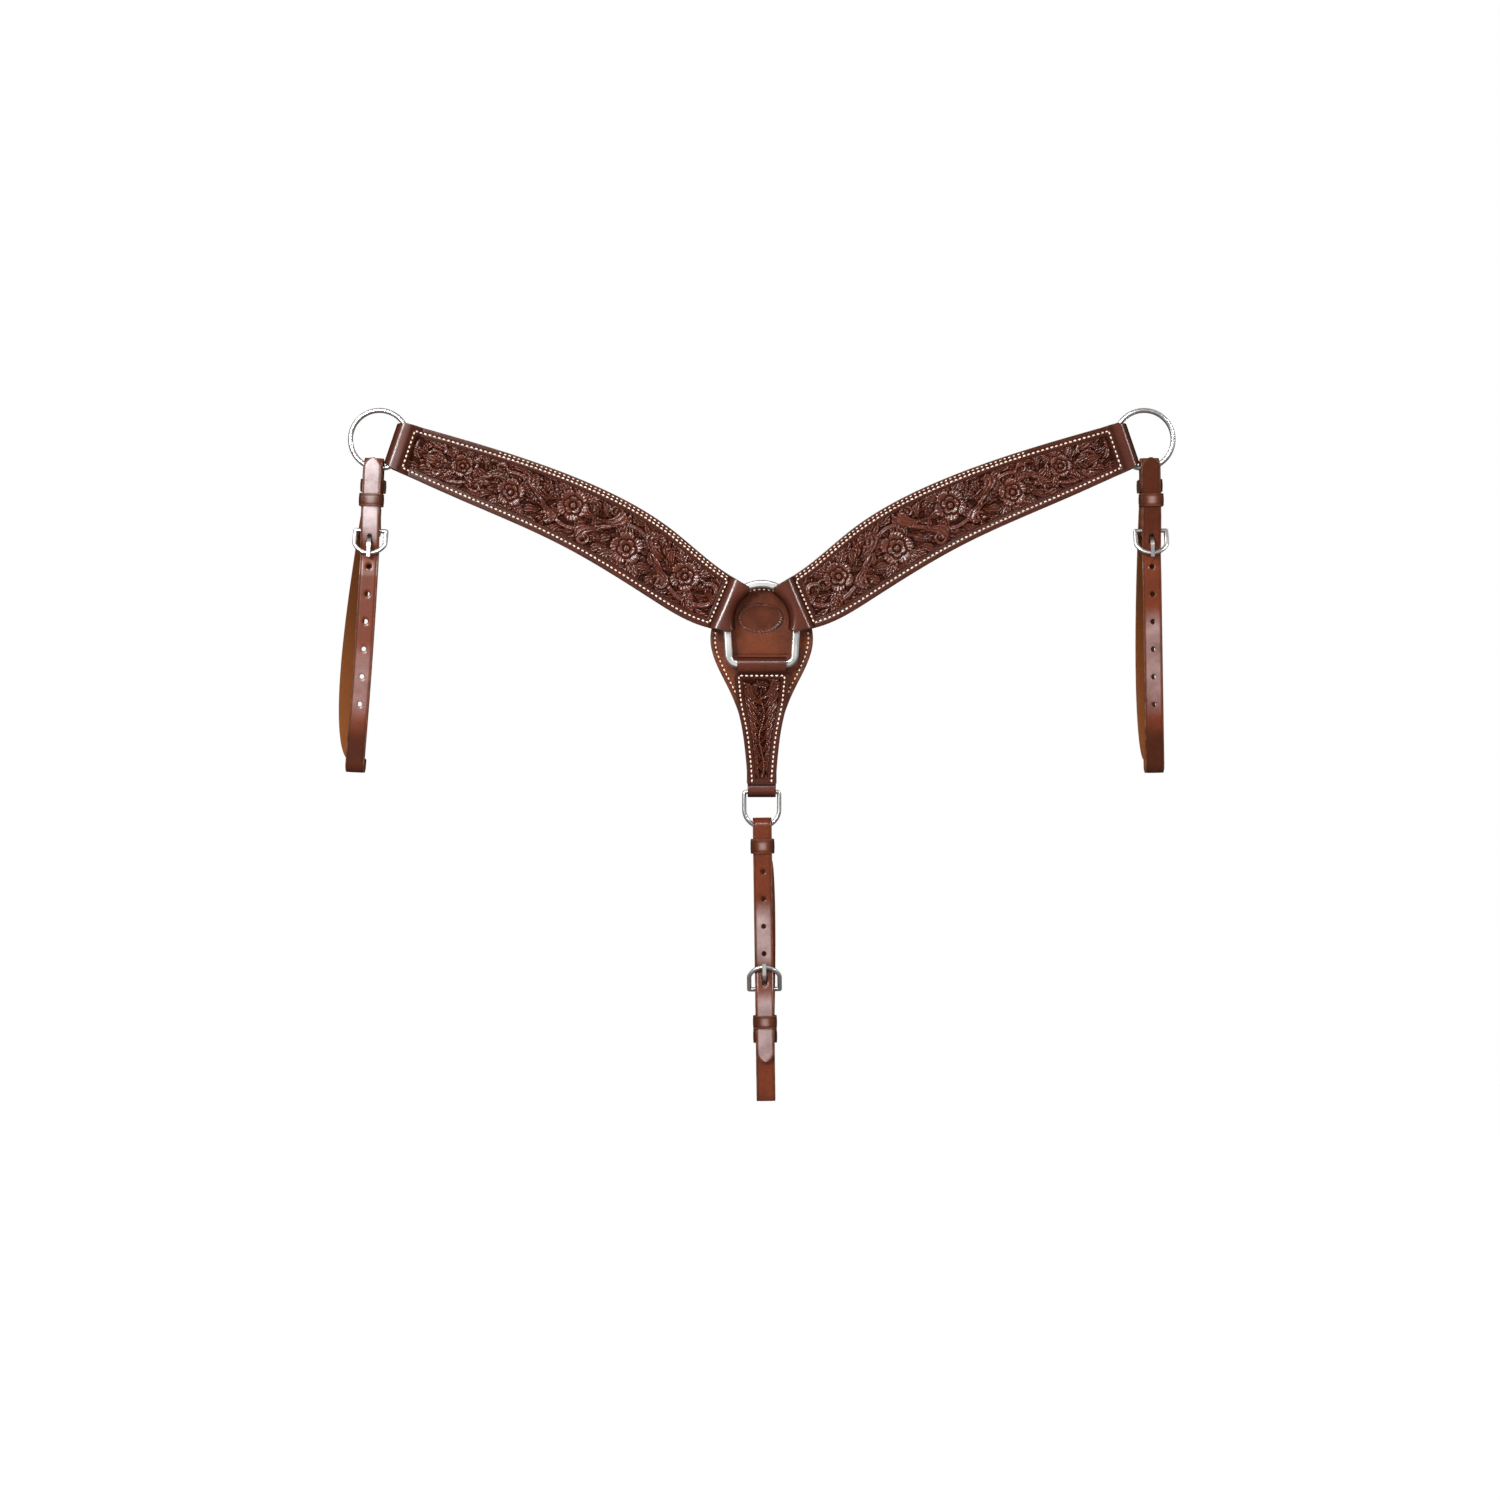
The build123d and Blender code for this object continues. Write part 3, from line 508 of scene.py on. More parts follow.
def wave_line(work, points):
    """A stem's line through places given as length along and offset across the strip."""
    return curve_through([work["to_plan"](s, t) for s, t in points], step=2.5)


def leaf_bed(work, first, last, pitch, sides, length, width):
    """Small overlapping leaves all over the field, under the main motifs."""
    work["level"] = -0.35
    for k, s in enumerate(np.arange(last, first, -pitch)):
        for m, t in enumerate(sides):
            sway = math.sin(k * 2.3 + m * 1.7)
            x, z = work["to_plan"](s + 3 * sway, t + 1.5 * math.cos(k * 1.9 + m))
            lean = (38 + 22 * sway) * (1 if t > 0 else -1) + (180 if m % 2 else 0)
            kind, ribs = (plume, 3) if (k + m) % 3 else (acanthus, 4.2)
            motif(work, kind, x, z, work["turn_at"](s) + math.radians(lean), length * 1.3, length, width,
                  0.45 * (1 if (k + m) % 2 else -1), ribs)
    work["level"] = 0.0


def curl(work, s, t, radius, turn, hand):
    """A tight scroll that ends in a bead."""
    x, z = work["to_plan"](s, t)
    angles = np.linspace(0, 1.45 * math.pi, 22)
    reach = radius * (1 - 0.72 * angles / angles[-1])
    a = turn + work["turn_at"](s) + hand * angles
    stem(work, np.stack([x + reach * np.cos(a), z + reach * np.sin(a)], axis=1), 1.7, 1.1)
    motif(work, bead, x, z, 0.0, 4, radius * 0.24)


# Along and across the wing, and then: a flower's radius
FLOWERS = [(42, 4, 15.5), (108, -6, 17), (174, 7, 16.5), (237, -5, 14.5), (291, 3, 11.5)]
# A leaf's lean, length and width as shares of the flower's radius, and its bend
FLOWER_LEAVES = [
    (30, 1.8, 0.42, 0.55), (-30, 1.7, 0.4, -0.55), (150, 1.8, 0.42, -0.55), (-150, 1.7, 0.4, 0.55),
    (88, 1.4, 0.4, 0.4), (62, 1.35, 0.36, -0.5), (-118, 1.35, 0.36, -0.5), (118, 1.4, 0.36, 0.5),
    (-62, 1.4, 0.36, 0.5)]
# A leaf's lean, length, width and bend
WING_LEAVES = [
    (20, -17, 165, 21, 5.5, 0.5), (15, 2, 178, 16, 5.5, 0.3), (19, 19, 160, 19, 5.5, -0.4),
    (70, 3, 62, 27, 6.5, -0.7), (80, -4, -122, 27, 6.5, -0.7), (70, 25, 10, 21, 5.5, 0.5),
    (82, -26, 186, 21, 5.5, 0.5), (136, -3, -60, 27, 6.5, 0.7), (146, 6, 122, 27, 6.5, 0.7),
    (140, -25, 8, 21, 5.5, -0.5), (144, 27, 188, 21, 5.5, -0.5), (201, 3, 62, 25, 6.2, -0.7),
    (210, -4, -122, 24, 6.2, -0.7), (204, 22, 6, 19, 5.2, 0.5), (214, -20, 182, 19, 5.2, 0.5),
    (259, -2, -60, 20, 5.5, 0.6), (267, 4, 122, 20, 5.5, 0.6), (262, -16, 5, 17, 4.6, -0.4),
    (267, 17, 184, 17, 4.6, -0.4), (305, -6, -14, 17, 4.6, -0.4), (307, 8, 14, 17, 4.6, 0.4),
    (306, 1, 0, 19, 4.2, 0.2), (333, -16, 165, 17, 4.6, 0.4), (334, 15, 195, 17, 4.6, -0.4),
    (334, 0, 175, 16, 4.6, 0.2)]
# A curl's radius, first angle and hand
WING_CURLS = [
    (66, -18, 7, 0.6, 1), (84, 16, 7, 3.6, 1), (132, 20, 7, 2.4, -1), (152, -17, 7, 5.4, -1),
    (196, -16, 6.5, 0.6, 1), (216, 14, 6.5, 3.6, 1), (254, 14, 5.5, 2.4, -1), (272, -12, 5.5, 5.4, -1),
    (24, 6, 6, 0.4, 1), (315, -11, 4.5, 2.6, 1), (316, 12, 4.5, 3.6, -1)]
PANEL_CURLS = [(14, 16, 5, 0.6, 1), (15, -16, 5, 5.4, -1), (36, 17, 4, 0.6, 1), (36, -17, 4, 5.4, -1)]


def carve_wing(work):
    """Flowers along the wing, alternately above and below a running stem, with leaves between."""
    leaf_bed(work, 4, 338, 8.0, (-31, -22, -13, -4, 5, 14, 23, 31), 20, 4.8)
    wave = [(20, 9), (11, 12), (6, 3), (11, -9), (24, -15)]
    wave += [(s, (-1) ** (k + 1) * (r + 5.5) + t) for k, (s, t, r) in enumerate(FLOWERS)]
    wave += [(309, -15), (322, -9), (327, 2), (320, 9), (312, 5)]
    stem(work, wave_line(work, wave), 2.6, 1.8)
    for k, (s, t, r) in enumerate(FLOWERS):
        x, z = work["to_plan"](s, t)
        for lean, length, width, bend in FLOWER_LEAVES:
            turn, a = work["turn_at"](s), math.radians(-lean if k % 2 and lean == 88 else lean)
            motif(work, acanthus, x + 0.6 * r * math.cos(turn + a), z + 0.6 * r * math.sin(turn + a),
                  turn + a, length * r * 1.4, length * r, width * r, bend, 5.2)
    for s, t, lean, length, width, bend in WING_LEAVES:
        kind, ribs, wide = (plume, 3, 1.15) if length > 22 or length < 18 else (acanthus, 5.0, 1)
        leaf(work, kind, s, t, lean, length, width * wide, bend, ribs)
    for place in WING_CURLS:
        curl(work, *place)
    work["level"] = 0.15
    for k, (s, t, r) in enumerate(FLOWERS):
        turn = work["turn_at"](s) + 0.5 + 0.8 * k
        motif(work, petal_flower, *work["to_plan"](s, t), 0.0, r * 1.15, r, turn)


def carve_panel(work):
    """Long fluted leaves that climb from the dee and curl outwards, with a running stem between them."""
    leaf_bed(work, 4, 112, 8.5, (-16, -8, 0, 8, 16), 15, 3.8)
    for s in np.arange(110, 26, -11):
        spread = (116 - s) / 90
        for side in (1, -1):
            x, z = work["to_plan"](s + 3 * side, side * (1.5 + 5.5 * spread))
            lean = math.radians(180 + side * (7 + 20 * spread))
            motif(work, plume, x, z, work["turn_at"](s) + lean, 44, 27 + 5 * spread, 3.4 + 2.2 * spread,
                  side * (0.3 + 0.25 * spread), 3)
    stem(work, wave_line(work, [(110, 0), (92, 2), (66, -2.5), (42, 2.5), (24, -1.5), (15, 1)]), 1.0, 0.7)
    for place in PANEL_CURLS:
        curl(work, *place)


def tool_leather(x, z, margin, to_plan, turn_at, carver, deep=1.0):
    """Height and shade of tooled leather; margin is the distance inwards from the stitch line."""
    work = {"x": x.ravel(), "z": z.ravel(), "to_plan": to_plan, "turn_at": turn_at}
    lattice = np.cos(work["x"] * 3.3 + work["z"] * 0.5) * np.cos(work["z"] * 3.3 - work["x"] * 0.5)
    work["height"] = -deep + 0.3 * lattice
    carver(work)
    height = work["height"].reshape(x.shape)
    hand = np.sin(x * 1.25 + 1.7 * np.sin(z * 0.61)) * np.sin(z * 1.31 + 1.3 * np.sin(x * 0.53))
    height += 0.13 * hand * smooth(height, -0.7, 0.1)
    shade = 0.06 + 0.94 * smooth(height, -0.85, 0.35)
    field = smooth(margin, 3.9, 4.7)
    height, shade = height * field, 0.85 + (shade - 0.85) * field
    shade *= 1 - 0.35 * smooth(-margin, 0.3, 1.2)
    for place, depth, width, dark in ((0.0, 0.4, 0.95, 0.6), (2.2, 0.36, 0.5, 0.8), (3.7, 0.55, 0.7, 0.8)):
        line = line_at(margin, place, width)
        height = height - depth * line
        shade = shade * (1 - dark * line)
    return height, shade


# ------------------------------------------------------------------ wings

def roll_shade(reach_of, sheet, tip, flat):
    """Painted shade across a fold: dark at both sides and lighter along its crown, as a round roll is lit."""
    across = np.clip((reach_of(sheet.centre[:, 0], sheet.centre[:, 2])[0] - tip) / (flat - tip), 0, 1)
    crown = 0.12 + 0.7 * np.sin(math.pi * np.clip(across, 0.02, 1)) ** 1.1
    return np.where((sheet.centre[:, 1] < 0) & (across < 1), crown, 1)[:, None]


def build_wing(name, sheet, leather):
    """The tooled leather of one wing with both its loops."""
    x, y = sheet.section(WING_COLUMNS, BACK_COLUMNS)
    shown = slice(sheet.flat_from, sheet.tool_to + 1), sheet.face
    point = sheet.centre[:, None] + sheet.across[:, None] * x[..., None]
    px, pz = point[shown][..., 0], point[shown][..., 2]
    ends = np.minimum(inner_reach(px, pz)[0] - INNER_FLAT - 0.4,
                      sheet.length[sheet.tool_to] - 0.4 - sheet.length[shown[0], None])
    margin = np.minimum(sheet.gap(x)[shown] - STITCH_INSET, ends)
    run = sheet.length - sheet.length[sheet.flat_from]

    def to_plan(s, t):
        c, a = picked(s, run, sheet.centre), picked(s, run, sheet.across)
        return (c[0] + a[0] * t, c[2] + a[2] * t)

    def turn_at(s):
        a, b = to_plan(s - 2, 0), to_plan(s + 2, 0)
        return math.atan2(b[1] - a[1], b[0] - a[0])

    height, shade = tool_leather(px, pz, margin, to_plan, turn_at, carve_wing)
    y[shown] += height
    shades = np.ones(x.shape)
    shades[shown] = shade
    crease = line_at(sheet.length, sheet.length[sheet.flat_from] - 1.2, 1.6)
    crease += line_at(sheet.length, sheet.length[sheet.tool_to] + 1.2, 1.6)
    # painted shade in the creases at both ends of the tooling; the creases are also pressed in
    shades[:, sheet.face] *= 1 - 0.7 * crease[:, None]
    y[:, sheet.face] -= 0.35 * crease[:, None]
    # painted shade across the inner and outer rolls
    shades *= roll_shade(inner_reach, sheet, INNER_CENTRE - INNER_BEND, INNER_FLAT)
    shades *= roll_shade(outer_reach, sheet, OUTER_CENTRE - OUTER_BEND, OUTER_FLAT - OUTER_LAP)
    points = sheet.place(x, y)
    points += sheet.share[:, None, None] * INNER_OUT * fold_shift(x)[..., None]
    piece = grid_piece(name + "_wing_leather", points * [SIDES[name], 1, 1], sheet.marks(x, shades))
    finish_piece(piece, name + "_wing", leather, "tooled_leather", name + "_wing_front")


def stitch_row(points, outward, pitch=STITCH_PITCH):
    """Even places, directions and outward directions along a row."""
    length = arc_length(points)
    s = np.linspace(0, length[-1], max(2, int(round(length[-1] / pitch))) + 1)
    p, o = picked(s, length, points), picked(s, length, outward)
    return (p[1:] + p[:-1]) / 2, p[1:] - p[:-1], o[1:] + o[:-1]


def sew(name, rows, body, thread, radius=0.85, flip=1):
    """Every stitch of the rows, as one piece: plump short threads that dip into the leather at their ends."""
    take_up()
    bpy.ops.mesh.primitive_uv_sphere_add(segments=7, ring_count=6, radius=1)
    seed = bpy.context.object
    shape = corners_of(seed)[:, [2, 0, 1]]
    faces = [tuple(f.vertices) for f in seed.data.polygons]
    bpy.data.objects.remove(seed)
    dip = 1 - 0.55 * np.abs(shape[:, 0]) ** 3
    rise = shape[:, 2] * radius * 0.8 - (1 - dip) * radius * 1.3
    verts, polygons = [], []
    for points, outward in rows:
        for middle, run, up in zip(*stitch_row(points, outward)):
            long = np.linalg.norm(run)
            run, up = run / long, up / np.linalg.norm(up)
            across = np.cross(up, run) * (shape[:, 1:2] * radius)
            polygons += [tuple(len(verts) * len(shape) + v for v in f) for f in faces]
            verts.append(middle + run * (shape[:, :1] * long * 0.32) + across + up * rise[:, None])
    mesh = bpy.data.meshes.new(name)
    mesh.from_pydata((np.concatenate(verts) * [flip, 1, 1] * MM).tolist(), [], polygons)
    piece = bpy.data.objects.new(name, mesh)
    bpy.context.scene.collection.objects.link(piece)
    close_up(piece)
    bpy.ops.object.shade_smooth()
    finish_piece(piece, body, thread, None)


def wing_seams(sheet):
    """Stitch rows of the wing on its show side, on its back, and the fine row along its upper edge."""
    at = sheet.length
    s = at[sheet.flat_from:sheet.tool_to + 1]
    low = np.interp(s, at, sheet.low) + STITCH_INSET
    high = np.interp(s, at, sheet.high) - STITCH_INSET
    first, last, to_flat = s[0] + 0.6, s[-1] - 0.6, at[sheet.flat_to] - 0.6
    ends = [sheet.at(place, np.linspace(low[k], high[k], 30))
            for place, k in ((first, 0), (last, -1), (to_flat, -1))]
    t = np.clip(s, first, last)
    rows = [sheet.at(t, high), sheet.at(t, low), *ends[:2]]
    t = np.clip(s, first, to_flat)
    backs = [sheet.at(t, high), sheet.at(t, low), ends[0], ends[2]]
    backs = [(points + [0, 6.0, 0], -outward) for points, outward in backs]
    near = t < first + 262
    return rows, backs, [sheet.at(t[near], high[near] + 3.0)]


def build_lining(name, sheet, leather):
    """Smooth lining behind the wing, between the turned tabs."""
    flat = slice(sheet.flat_from, sheet.flat_to)
    plan, at = sheet.centre[flat][:, [0, 2]].T, sheet.length[flat]
    start = np.interp(INNER_TAB + 0.4, inner_reach(*plan)[0], at)
    stop = np.interp(OUTER_TAB + 0.4, outer_reach(*plan)[0][::-1], at[::-1])
    s = np.linspace(start, stop, 150)
    centre = picked(s, sheet.length, sheet.centre)
    centre[:, 1] = HALF_LAYER
    low, high = np.interp(s, sheet.length, sheet.low), np.interp(s, sheet.length, sheet.high)
    lining = Leather(centre, picked(s, sheet.length, sheet.across), same((0, 1, 0), len(s)), low, high, 2.9)
    x, y = lining.section(44, 5)
    y[:, lining.face] -= (0.3 * line_at(lining.gap(x) - STITCH_INSET, 0, 0.9))[:, lining.face]
    marks = lining.marks(x, np.ones(x.shape))
    marks["flesh"][:] = 0
    piece = grid_piece(name + "_wing_back", lining.place(x, y) * [SIDES[name], 1, 1], marks)
    finish_piece(piece, name + "_wing", leather, "lining_leather", name + "_wing_lining")


# ------------------------------------------------------------------ shield and drop

SHIELD_TOP, SHIELD_HALF, SHIELD_FOOT, DEE_DROP = 35.0, 51.5, 15.0, 173.0
DROP_BACK, DEE_Y = 10.7, 12.2
SHIELD_LEATHER, SHIELD_SEAM = 3.0, 4.7
PANEL_SEAM, PANEL_TOP_SEAM, PANEL_FOOT_SEAM = 4.6, 2.6, 1.5
SHIELD_COLUMNS, PANEL_COLUMNS = 92, 104
PANEL_FACE = 9.2                               # depth of the panel where it hangs straight


def shield_line():
    half, foot, drop = SHIELD_HALF, SHIELD_FOOT, DEE_DROP
    right = [(0, SHIELD_TOP), (half * 0.64, SHIELD_TOP * 0.63), (half * 0.95, -drop * 0.017),
             (half, -drop * 0.127), (half * 0.913, -drop * 0.237), (half * 0.69, -drop * 0.376),
             (half * 0.485, -drop * 0.514), (foot * 1.23, -drop * 0.653), (foot * 1.033, -drop * 0.79),
             (foot, -drop)]
    return curve_through(right, start=(1, 0), end=(0, -1), step=0.6)


def build_shield(name, layer, bottom, show, leather, slot, node, relief):
    """One layer of the shield, the first in front, with burnished round edges."""
    line = shield_line()
    top_run = SHIELD_TOP - (1 - np.cos(np.linspace(0, math.pi / 2, 40))) * 22
    z = np.concatenate([top_run, np.linspace(13, bottom, int(13 - bottom))[1:]])
    half = np.interp(-z, -line[:, 1], line[:, 0])[:, None]
    half[0] = 0
    rim, ease = np.minimum(2.0, half * 0.35), np.array([[0, 0.12, 0.35, 0.65]])
    c = np.linspace(-1, 1, SHIELD_COLUMNS - 8)[None]
    x = np.concatenate([-half + rim * ease, c * (half - rim), half - rim * ease[:, ::-1]], axis=1)
    zz = np.repeat(z[:, None], SHIELD_COLUMNS, 1)
    gap = np.minimum(gap_to_line(np.abs(x), zz, line)[0], zz - bottom)
    round_off = dome(1 - np.clip(gap / 1.3, 0, 1)) * SHIELD_LEATHER / 2
    height, shade = relief(x, zz, gap)
    middle = DROP_BACK + SHIELD_LEATHER * layer + SHIELD_LEATHER / 2

    def both(front, back):
        return np.concatenate([front, back[:, -2:0:-1]], axis=1)

    depth = both(middle - show * (round_off + height * smooth(gap, 0, 1)), middle + show * round_off)
    edge, none = 1 - smooth(gap, 0.5, 3.0), np.zeros(x.shape)
    # shade above 1 is carried on as the painted highlight mark
    marks = {"shade": both(np.minimum(shade, 1), none + 1), "edge": both(edge, edge),
             "flesh": both(none, none + 1), "rub": both(0.5 * np.clip(shade - 1, 0, 1), none)}
    piece = grid_piece(name, np.stack([both(x, x), depth, both(zz, zz)], axis=2), marks)
    finish_piece(piece, "drop", leather, slot, node)


def shield_face(x, z, gap):
    """Stitch channel, pressed oval with its rope border, and the line pressed over the roll."""
    height = -0.35 * line_at(gap, SHIELD_SEAM, 0.8)
    shade = 1 - 0.4 * line_at(gap, SHIELD_SEAM, 0.9)
    oval = (np.sqrt(((x + 1) / 22.8) ** 2 + ((z - 1) / 14.6) ** 2) - 1) * 17
    for place, depth in ((0.0, 0.55), (-2.2, 0.35)):
        height -= depth * line_at(oval, place, 0.65)
        shade *= 1 - 0.65 * line_at(oval, place, 0.7)
    around = np.arctan2(z - 1, x + 1) * 19
    rope = 0.5 + 0.5 * np.cos(around * 2 * math.pi / 2.4 + oval * 1.6)
    ring = smooth(oval, -2.3, -1.9) * (1 - smooth(oval, -0.4, 0))
    shade *= 0.7 + 0.3 * smooth(-z, -26, 34)
    height += (1.0 * rope - 0.05) * ring
    # painted shade between the rope's beads and painted highlight on them
    shade *= 1 - 0.75 * ring * (1 - rope)
    shade += 0.8 * ring * rope
    field = smooth(-oval, 2.4, 3.4)
    height -= 0.35 * field
    shade *= 1 - 0.25 * field
    beside = smooth(30 - np.abs(x), 0, 4)
    height -= 0.4 * line_at(z, -35.5, 0.7) * beside
    return height, shade * (1 - 0.45 * line_at(z, -35.5, 0.8) * beside)


def shield_back_face(x, z, gap):
    return -0.3 * line_at(gap, SHIELD_SEAM, 0.8), 1 - 0.3 * line_at(gap, SHIELD_SEAM, 0.9)


def panel_sheet():
    """The drop's front leather from its skived tail, over the ring's bar, down to the dee and back up."""
    upper = bend_round(0, -RING_DROP, 5.8, -55, 215, 26)
    front = [upper[-1], (-2.7, -53.0), (-1.8, -56.0), (-0.6, -59), (2.8, -66.5), (6.2, -74), (8.6, -80.5),
             (PANEL_FACE, -88), (PANEL_FACE, -100)]
    front = curve_through(front, start=(0.5, -0.8), end=(0, -1), step=0.8)
    straight = np.stack([np.full(70, PANEL_FACE), np.linspace(-101, -160, 70)], axis=1)
    lower = bend_round(DEE_Y, -DEE_DROP, 4.0, 180, 365, 18)
    into = [(PANEL_FACE, -161), (8.9, -166), (8.25, -170), lower[0]]
    into = curve_through(into, start=(0, -1), end=(0, -1), step=0.8)
    out = [lower[-1], (15.2, -167.5), (13.2, -163.5), (12.3, -160), (12.2, -152.2)]
    out = curve_through(out, end=(0, 1), step=0.9)
    tail = curve_through([(9.4, -77), (6.4, -68), (2.6, -56.5), upper[0]], end=(0.8, 0.6), step=1.2)
    line = np.concatenate([tail[:-1], upper, front[1:], straight, into, lower[1:], out[1:]])
    line = even_steps(line, 0.56)
    width = [(28.0, -57.5), (27.3, -62), (25.4, -82), (20.5, -106), (17.0, -130), (14.8, -155), (14.2, -168)]
    width = curve_through(width, step=0.5)
    half = np.interp(-line[:, 1], np.concatenate([[0, 52.5], -width[:, 1], [200]]),
                     np.concatenate([[24.6, 24.6], width[:, 0], [14.2]]))
    order, top = np.arange(len(line)), int(np.argmax(line[:, 1]))
    tail_part = order < top
    half[tail_part] = np.minimum(half[tail_part], 24.2)
    thick = np.where(tail_part, np.interp(line[:, 1], [-77, -56], [0.8, 2.6]), 2.9)
    sheet = hung_strip(line, 0, half, thick)
    sheet.front = [int(np.argmax((order > top) & (line[:, 1] < depth))) for depth in (-53.5, -165.5)]
    return sheet


def build_panel(sheet, leather):
    x, y = sheet.section(PANEL_COLUMNS, BACK_COLUMNS)
    first, last = sheet.front
    shown = slice(first, last), sheet.face
    along = (sheet.length - sheet.length[first])[shown[0], None] + 0 * x[shown]
    ends = np.minimum(along - PANEL_TOP_SEAM, along.max() - along - PANEL_FOOT_SEAM)
    margin = np.minimum(sheet.gap(x)[shown] - PANEL_SEAM, ends)
    height, shade = tool_leather(x[shown], -along, margin, lambda s, t: (t, -s), lambda s: -math.pi / 2,
                                 carve_panel, 0.8)
    y[shown] += height
    shades = np.ones(x.shape)
    shades[shown] = shade
    # painted shade in the creases at both ends of the tooling; the creases are also pressed in
    for place in (sheet.length[first] - 0.6, sheet.length[last] + 0.5):
        crease = line_at(sheet.length, place, 1.3)[:, None]
        shades[:, sheet.face] *= 1 - 0.7 * crease
        y[:, sheet.face] -= 0.4 * crease
    # painted shade across the rolls over the ring's bar and round the dee: dark at both sides, lighter along
    # the crown
    for start, stop in ((-RING_DROP + 6.0, -55.5), (-165.5, -DEE_DROP - 4.0)):
        across = (sheet.centre[:, 2] - start) / (stop - start)
        rolled = (across > 0) & (across < 1) & (sheet.centre[:, 1] < DEE_Y)
        crown = 0.15 + 0.85 * np.sin(math.pi * np.clip(across[rolled] * 1.1, 0, 1)) ** 1.2
        shades[rolled] *= crown[:, None]
    piece = grid_piece("drop_panel_leather", sheet.place(x, y), sheet.marks(x, shades))
    finish_piece(piece, "drop", leather, "tooled_leather", "drop_panel")


def panel_seams(sheet):
    first = sheet.length[sheet.front[0]] + PANEL_TOP_SEAM
    last = sheet.length[sheet.front[1]] - PANEL_FOOT_SEAM
    s = np.linspace(first, last, 140)
    high = np.interp(first, sheet.length, sheet.high) - PANEL_SEAM
    return [sheet.at(s, np.interp(s, sheet.length, sheet.low) + PANEL_SEAM),
            sheet.at(s, np.interp(s, sheet.length, sheet.high) - PANEL_SEAM),
            sheet.at(first, np.linspace(-high, high, 24))]


def shield_seams():
    """Stitch rows of the shield, sunk where the wings swing over them: in front, and behind."""
    line = shield_line()
    run = directions(line)
    inset = line + np.stack([run[:, 1], -run[:, 0]], axis=1) * SHIELD_SEAM
    inset = inset[(inset[:, 0] > 0) & (inset[:, 1] > -150)]
    both = np.concatenate([inset[::-1] * [-1, 1], inset])
    side = np.abs(both[:, 0])
    pressed = 0.35 * smooth(side, 22, 26) * (1 - smooth(side, 38, 42)) * (both[:, 1] > 4)
    front = np.stack([both[:, 0], DROP_BACK + 0.3 + pressed, both[:, 1]], axis=1)
    out = same((0, -1, 0), len(both))
    return (front, out), (front * [1, 0, 1] + [0, DROP_BACK + 5.9, 0], -out)


# ------------------------------------------------------------------ straps

STRAP_HALF, STRAP_LEATHER, STRAP_BORE = 9.5, 3.5, 5.0
STRAP_REACH, STRAP_FACE = 6.75, 8.5
BAR_Y, BAR_BORE = -2.6, 2.4
HOLE_RADIUS, HOLE_PITCH, SLOT_STRETCH = 2.4, 27.5, 2.5     # the first hole is a slot, for the tongue
KEEPER_LENGTH, KEEPER_WALL, KEEPER_PLAY, BILLET_PLAY = 12.8, 2.0, 0.4, 0.3
KEEPER_COLUMNS, STRAP_COLUMNS = 15, 32
TUG = {"length": 298.0, "bar": 64.5, "tip": 8.0, "holes": 7, "keepers": (34.5, 19.8), "foot": 5.0,
       "painted_foot_shade": 0.72}
GIRTH = {"length": 267.8, "bar": 104.0, "tip": -32.0, "holes": 6, "keepers": (72.0, 57.3), "foot": 34.8,
         "painted_foot_shade": 0.0}


def turned(points, degrees):
    """Points turned about Y, as the strap hangs."""
    c, s = math.cos(math.radians(degrees)), math.sin(math.radians(degrees))
    x, y, z = points[..., 0], points[..., 1], points[..., 2]
    return np.stack([x * c + z * s, y, z * c - x * s], axis=-1)


def hang_left(points):
    return turned(points, 2.6) + [-SIDE_X - 5.2, 0, SIDE_Z - 27.0]


def hang_right(points):
    return turned(points, -0.9) + [SIDE_X + 5.2, 0, SIDE_Z - 27.0]


def hang_girth(points):
    return turned(points * [-1, 1, -1] + [0, 0, -GIRTH["length"]], -0.8) + [0.5, DEE_Y, -207.25]


def aside_at(bow, bar, length, z):
    """How far the strap swings out sideways below its buckle."""
    return bow[1] * np.clip((bar - 30 - z) / (length + bar - 30), 0, 1) ** 1.6


def strap_lines(size):
    """The strap's middle, in depth and height: its billet alone, and all of it."""
    bar, length = -size["bar"], size["length"]
    over, raised = BAR_Y - BAR_BORE - 3.8 - 1.75, -12.95
    billet = [(raised, size["tip"]), (raised, bar + 14), (over - 0.2, bar + 0.5), (-5.55, bar - 20),
              (-5.55, bar - 30), (-STRAP_REACH, bar - 45), (-STRAP_REACH, -length)]
    billet = cut_corners(billet, 18)
    rise = np.stack([np.full(40, STRAP_REACH), np.linspace(-length, 0, 40)], axis=1)
    chape = [(-STRAP_REACH, 0), (-STRAP_REACH, bar / 2), (-STRAP_REACH, bar + 10), (BAR_Y - 4.15, bar)]
    chape = curve_through(chape, start=(0, -1), end=(0, -1), step=1.2)
    turn = bend_round(BAR_Y, bar, 4.15, 180, 360, 12)
    inner = curve_through([turn[-1], (0.3, bar + 5), (-2.5, bar + 11), (-3.0, bar + 15), (-3.05, bar + 22)],
                          start=(0, 1), end=(0, 1), step=1.2)
    rest = [bend_round(0, -length, STRAP_REACH, 180, 360, 22), rise,
            bend_round(0, 0, STRAP_REACH, 0, 180, 22), chape, turn, inner]
    return billet, even_steps(np.concatenate([billet, *[part[1:] for part in rest]]), 1.3)


